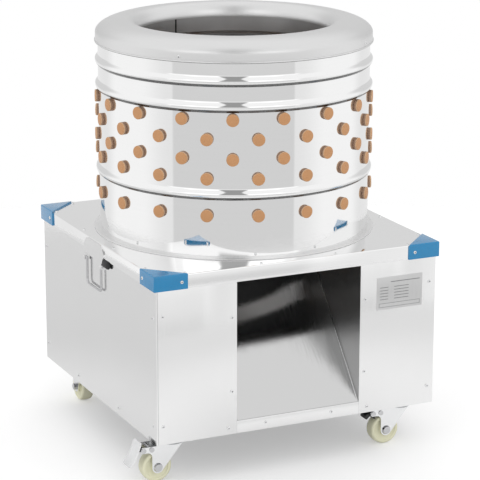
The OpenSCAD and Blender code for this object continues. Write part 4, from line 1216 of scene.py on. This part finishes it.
def wheel_shape(bm, sizes, radius, hub_width):
    """A moulded castor wheel along Z with a crowned tread and recessed sides."""
    edge = WHEEL_EDGE
    hub = sizes.wheel_hub
    hub_side = hub_width / 2
    side = sizes.wheel_width / 2
    dish = side - WHEEL_DISH
    rim = radius - WHEEL_RIM
    shoulder = (radius - WHEEL_SHOULDER, side - WHEEL_SHOULDER)
    half = [(sizes.wheel_bore, hub_side), (hub - edge, hub_side)]
    half += [(hub, hub_side - edge), (hub + edge, dish)]
    half += [(rim - edge, dish), (rim + edge / 2, dish + edge), (rim + edge, side - edge)]
    half += arc(shoulder, (WHEEL_SHOULDER - 2 * WHEEL_CROWN, WHEEL_SHOULDER), 90, 10, 6)
    half += [(radius - WHEEL_CROWN, 0.4 * side), (radius, 0)]
    outline = half + [(across, -height) for across, height in reversed(half[:-1])]
    lathe(bm, outline, steps=72, closed=True)


# Places of the brake pedal's face about its rivet, from its top edge to its tip
PEDAL_LINE = ((-0.006, 0.017), (-0.014, -0.004), (-0.020, -0.017), (-0.031, -0.030))

# The black lever on that rivet: its sleeve's radii and half length, and the corners of its two tabs
SLEEVE_RADII = (0.0031, 0.0045)
SLEEVE_HALF = 0.0137
LEVER_TABS = (
    ((-0.011, -0.012, -0.0032), (-0.0032, 0.012, 0.003)),
    ((0.0034, -0.011, -0.0085), (0.0064, 0.011, -0.001)),
)
TAB_EDGE = 0.0008


class PLUCKER_OT_castors(bpy.types.Operator):
    """Makes the castor wheels and the brake pedal, and finishes the other castor pieces"""

    bl_idname = "plucker.castors"
    bl_label = "Castors"
    wheels = ("front_left_wheel", "front_right_wheel", "rear_left_wheel", "rear_right_wheel")

    def execute(self, context):
        sizes = context.scene.plucker_sizes
        for node in self.wheels:
            lowest, highest = corners_of(node)
            size = highest - lowest
            axis = X_AXIS if size.x < size.y else Y_AXIS
            bm = bmesh.new()
            wheel_shape(bm, sizes, size.z / 2, min(size.x, size.y))
            bmesh.ops.transform(bm, matrix=turned_to(axis, (lowest + highest) / 2), verts=bm.verts)
            add_piece(node + "_nylon", bm, "cream_wheel", node, [node])
        dress_nodes("zinc", "front_left_fork", "front_right_fork", "rear_castor_frames")
        # The castor heads take the darker frame steel as painted shade under the cabinet
        dress_nodes("frame_steel", "castor_heads")
        dress_nodes("chrome", "front_left_pins", "front_right_pins", "rear_axles")
        dress_nodes("black_plastic", "front_right_brake")
        self.make_pedal(sizes)
        return {"FINISHED"}

    def make_pedal(self, sizes):
        """The left brake: a broad bent pedal, and the black lever that it is fixed to."""
        lowest, highest = corners_of("front_left_brake")
        pivot = lowest - Vector((PEDAL_LINE[-1][0], 0, PEDAL_LINE[-1][1]))
        bm = bmesh.new()
        run = [pivot + Vector((across, 0, up)) for across, up in PEDAL_LINE]
        swept(bm, run, (0, highest.y - lowest.y, 0))
        corners = [vert for vert in bm.verts if len(vert.link_edges) == 2]
        soften(bm, corners, sizes.pedal_corner, BEND_STEPS, "VERTICES")
        thicken(bm, sizes.pedal_sheet, lambda face: -face.normal.x)
        body = "front_left_brake"
        add_piece("brake_pedal", bm, "zinc", body, [body])
        bm = bmesh.new()
        middle = Vector((pivot.x, (lowest.y + highest.y) / 2, pivot.z))
        bore, outer = SLEEVE_RADII
        sleeve = [(bore, -SLEEVE_HALF), (outer, -SLEEVE_HALF), (outer, SLEEVE_HALF), (bore, SLEEVE_HALF)]
        lathe(bm, sleeve, steps=32, closed=True)
        bmesh.ops.transform(bm, matrix=turned_to(Y_AXIS, middle), verts=bm.verts)
        for tab in LEVER_TABS:
            slab(bm, *(middle + Vector(corner) for corner in tab), TAB_EDGE)
        add_piece("brake_lever", bm, "black_plastic", body, [])


# Stage

# The floor: its radius, its fading edge, its shade, its lift towards white, and its glow in reflections
# beside the machine and in front of it, as near and far distances with their levels
FLOOR_RADIUS = 2.2
FLOOR_FADE = (1.75, 1.95)
FLOOR_SHADE = (0.75, 0.75, 0.75, 1.0)
FLOOR_LIFT = 0.35
FLOOR_FRONT = (0.2, 0.35)
ASIDE_GLOW = (0.45, 0.9, 0.16, 0.0)
FRONT_GLOW = (0.5, 1.3, 0.30, 0.10)

# Levels of the room that reflections see, as shares of white
SIDE_LEVEL = 0.86
NEAR_DROP = 0.16
FAR_DROPS = (0.15, 0.29)
NEAR_GLOW = 0.20
BOX_LIFT = 0.35
GAP_DROP = 0.65

# Edges in that room along the turn towards the camera, as cosines
SIDE_FADE = (0.10, 0.60)
NEAR_EDGE = (0.60, 0.63)
FAR_EDGE = (-0.75, -0.45)
GLOW_EDGE = (0.50, 0.65)
BOX_EDGE = (0.68, 0.76)
GAP_EDGE = (0.970, 0.985)

# Edges in that room along the height, as sines
FAR_FOOT = (-0.15, -0.05)
GLOW_FOOT = (-0.20, -0.10)
GLOW_RISE = (-0.05, 0.10)
CEILING = (0.40, 0.60)
BOX_FOOT = (0.30, 0.42)
BOX_TOP = (0.58, 0.74)
GAP_FOOT = (0.12, 0.24)


class PLUCKER_OT_stage(bpy.types.Operator):
    """Sets up the white floor, the soft surroundings and the camera"""

    bl_idname = "plucker.stage"
    bl_label = "Stage"

    def execute(self, context):
        context.scene.view_settings.view_transform = "Standard"
        self.make_camera(context.scene)
        self.make_floor(context.scene)
        self.make_world(context.scene)
        return {"FINISHED"}

    def make_camera(self, scene):
        """The photograph's viewpoint."""
        ahead = Vector((math.sin(CAMERA_TURN), math.cos(CAMERA_TURN), -math.tan(CAMERA_DIP))).normalized()
        right = Vector((math.cos(CAMERA_TURN), -math.sin(CAMERA_TURN), 0))
        up = right.cross(ahead)
        across = right * math.cos(CAMERA_ROLL) + up * math.sin(CAMERA_ROLL)
        upward = up * math.cos(CAMERA_ROLL) - right * math.sin(CAMERA_ROLL)
        lens = bpy.data.cameras.new("camera")
        lens.sensor_width = CAMERA_SENSOR
        lens.lens = CAMERA_LENS
        camera = bpy.data.objects.new("camera", lens)
        turn = Matrix((across, upward, -ahead)).transposed().to_4x4()
        camera.matrix_world = Matrix.Translation(CAMERA_PLACE) @ turn
        scene.collection.objects.link(camera)
        scene.camera = camera

    def make_floor(self, scene):
        """A white disc that fades out into the white surroundings."""
        bm = bmesh.new()
        bmesh.ops.create_circle(bm, cap_ends=True, segments=96, radius=FLOOR_RADIUS)
        mesh = bpy.data.meshes.new("floor")
        bm.to_mesh(mesh)
        bm.free()
        material, place = start_finish("white_floor")
        away = place.vector("LENGTH", output="Value")
        camera_ray = place.node("ShaderNodeLightPath", output="Is Camera Ray")
        glossy_ray = place.node("ShaderNodeLightPath", output="Is Glossy Ray")
        front = step(place.along(-Y_AXIS), *FLOOR_FRONT)
        aside = step(away, *ASIDE_GLOW)
        glow = aside + front * (step(away, *FRONT_GLOW) - aside)
        coat(
            material,
            {
                "Base Color": FLOOR_SHADE,
                "Roughness": 1.0,
                "Specular IOR Level": 0.0,
                "Emission Color": camera_ray * FLOOR_LIFT + glossy_ray * glow,
                "Emission Strength": 1.0,
                "Alpha": step(away, *FLOOR_FADE, 1.0, 0.0),
            },
        )
        mesh.materials.append(material)
        floor = bpy.data.objects.new("floor", mesh)
        scene.collection.objects.link(floor)

    def make_world(self, scene):
        """White all round, with a room for reflections."""
        world = bpy.data.worlds.new("studio")
        scene.world = world
        world.use_nodes = True
        tree = world.node_tree
        aim = Wire(tree).node("ShaderNodeTexCoord", output="Generated")
        behind = (-math.sin(CAMERA_TURN), -math.cos(CAMERA_TURN), 0.0)
        toward = aim.vector("MULTIPLY", GROUND_PLAN).vector("NORMALIZE").along(behind)
        glossy_ray = aim.node("ShaderNodeLightPath", output="Is Glossy Ray")
        sky = mix(glossy_ray, WHITE, self.room(toward, aim.along(Z_AXIS)))
        tree.links.new(sky.socket, tree.nodes["Background"].inputs["Color"])

    def room(self, toward, height):
        """A grey camera side and far side, a white ceiling, and two softboxes with a dark gap."""
        sides = step(toward, *SIDE_FADE, 1.0, SIDE_LEVEL) - step(toward, *NEAR_EDGE, 0.0, NEAR_DROP)
        far_side = step(toward, *FAR_EDGE, 1.0, 0.0) * step(height, *FAR_FOOT, *FAR_DROPS)
        glow = step(height, *GLOW_FOOT, 0.0, NEAR_GLOW) + step(height, *GLOW_RISE, 0.0, NEAR_GLOW)
        walls = sides - far_side + step(toward, *GLOW_EDGE) * glow
        shell = walls + (1.0 - walls) * step(height, *CEILING)
        gap = step(toward, *GAP_EDGE)
        boxes = (step(toward, *BOX_EDGE) - gap) * BOX_LIFT
        lit = shell + boxes * step(height, *BOX_FOOT) * step(height, *BOX_TOP, 1.0, 0.0)
        return lit - gap * step(height, *GAP_FOOT, 0.0, GAP_DROP)


class PLUCKER_PT_panel(bpy.types.Panel):
    """Lists the steps that dress the plucker"""

    bl_label = "Drum plucker"
    bl_idname = "PLUCKER_PT_panel"
    bl_space_type = "VIEW_3D"
    bl_region_type = "UI"
    bl_category = "Plucker"

    def draw(self, context):
        for step_class in STEPS:
            self.layout.operator(step_class.bl_idname)
        for group in (context.scene.plucker_sizes, context.scene.plucker_finishes):
            box = self.layout.box()
            for name in group.__annotations__:
                box.prop(group, name)


STEPS = (
    PLUCKER_OT_stage,
    PLUCKER_OT_deck,
    PLUCKER_OT_guards,
    PLUCKER_OT_panels,
    PLUCKER_OT_name_plate,
    PLUCKER_OT_screws,
    PLUCKER_OT_drum,
    PLUCKER_OT_fingers,
    PLUCKER_OT_rotor,
    PLUCKER_OT_switch,
    PLUCKER_OT_handles,
    PLUCKER_OT_castors,
)
CLASSES = (PluckerSizes, PluckerFinishes, *STEPS, PLUCKER_PT_panel)


def register():
    """Registers the classes and the settings on the scene."""
    for item in CLASSES:
        bpy.utils.register_class(item)
    bpy.types.Scene.plucker_sizes = bpy.props.PointerProperty(type=PluckerSizes)
    bpy.types.Scene.plucker_finishes = bpy.props.PointerProperty(type=PluckerFinishes)


def unregister():
    """Removes the settings and the classes."""
    del bpy.types.Scene.plucker_finishes
    del bpy.types.Scene.plucker_sizes
    for item in reversed(CLASSES):
        bpy.utils.unregister_class(item)


def main():
    """Dresses the plucker."""
    register()
    bpy.ops.plucker.stage()
    bpy.ops.plucker.deck()
    bpy.ops.plucker.guards()
    bpy.ops.plucker.panels()
    bpy.ops.plucker.name_plate()
    bpy.ops.plucker.screws()
    bpy.ops.plucker.drum()
    bpy.ops.plucker.fingers()
    bpy.ops.plucker.rotor()
    bpy.ops.plucker.switch()
    bpy.ops.plucker.handles()
    bpy.ops.plucker.castors()


if __name__ == "__main__":
    main()
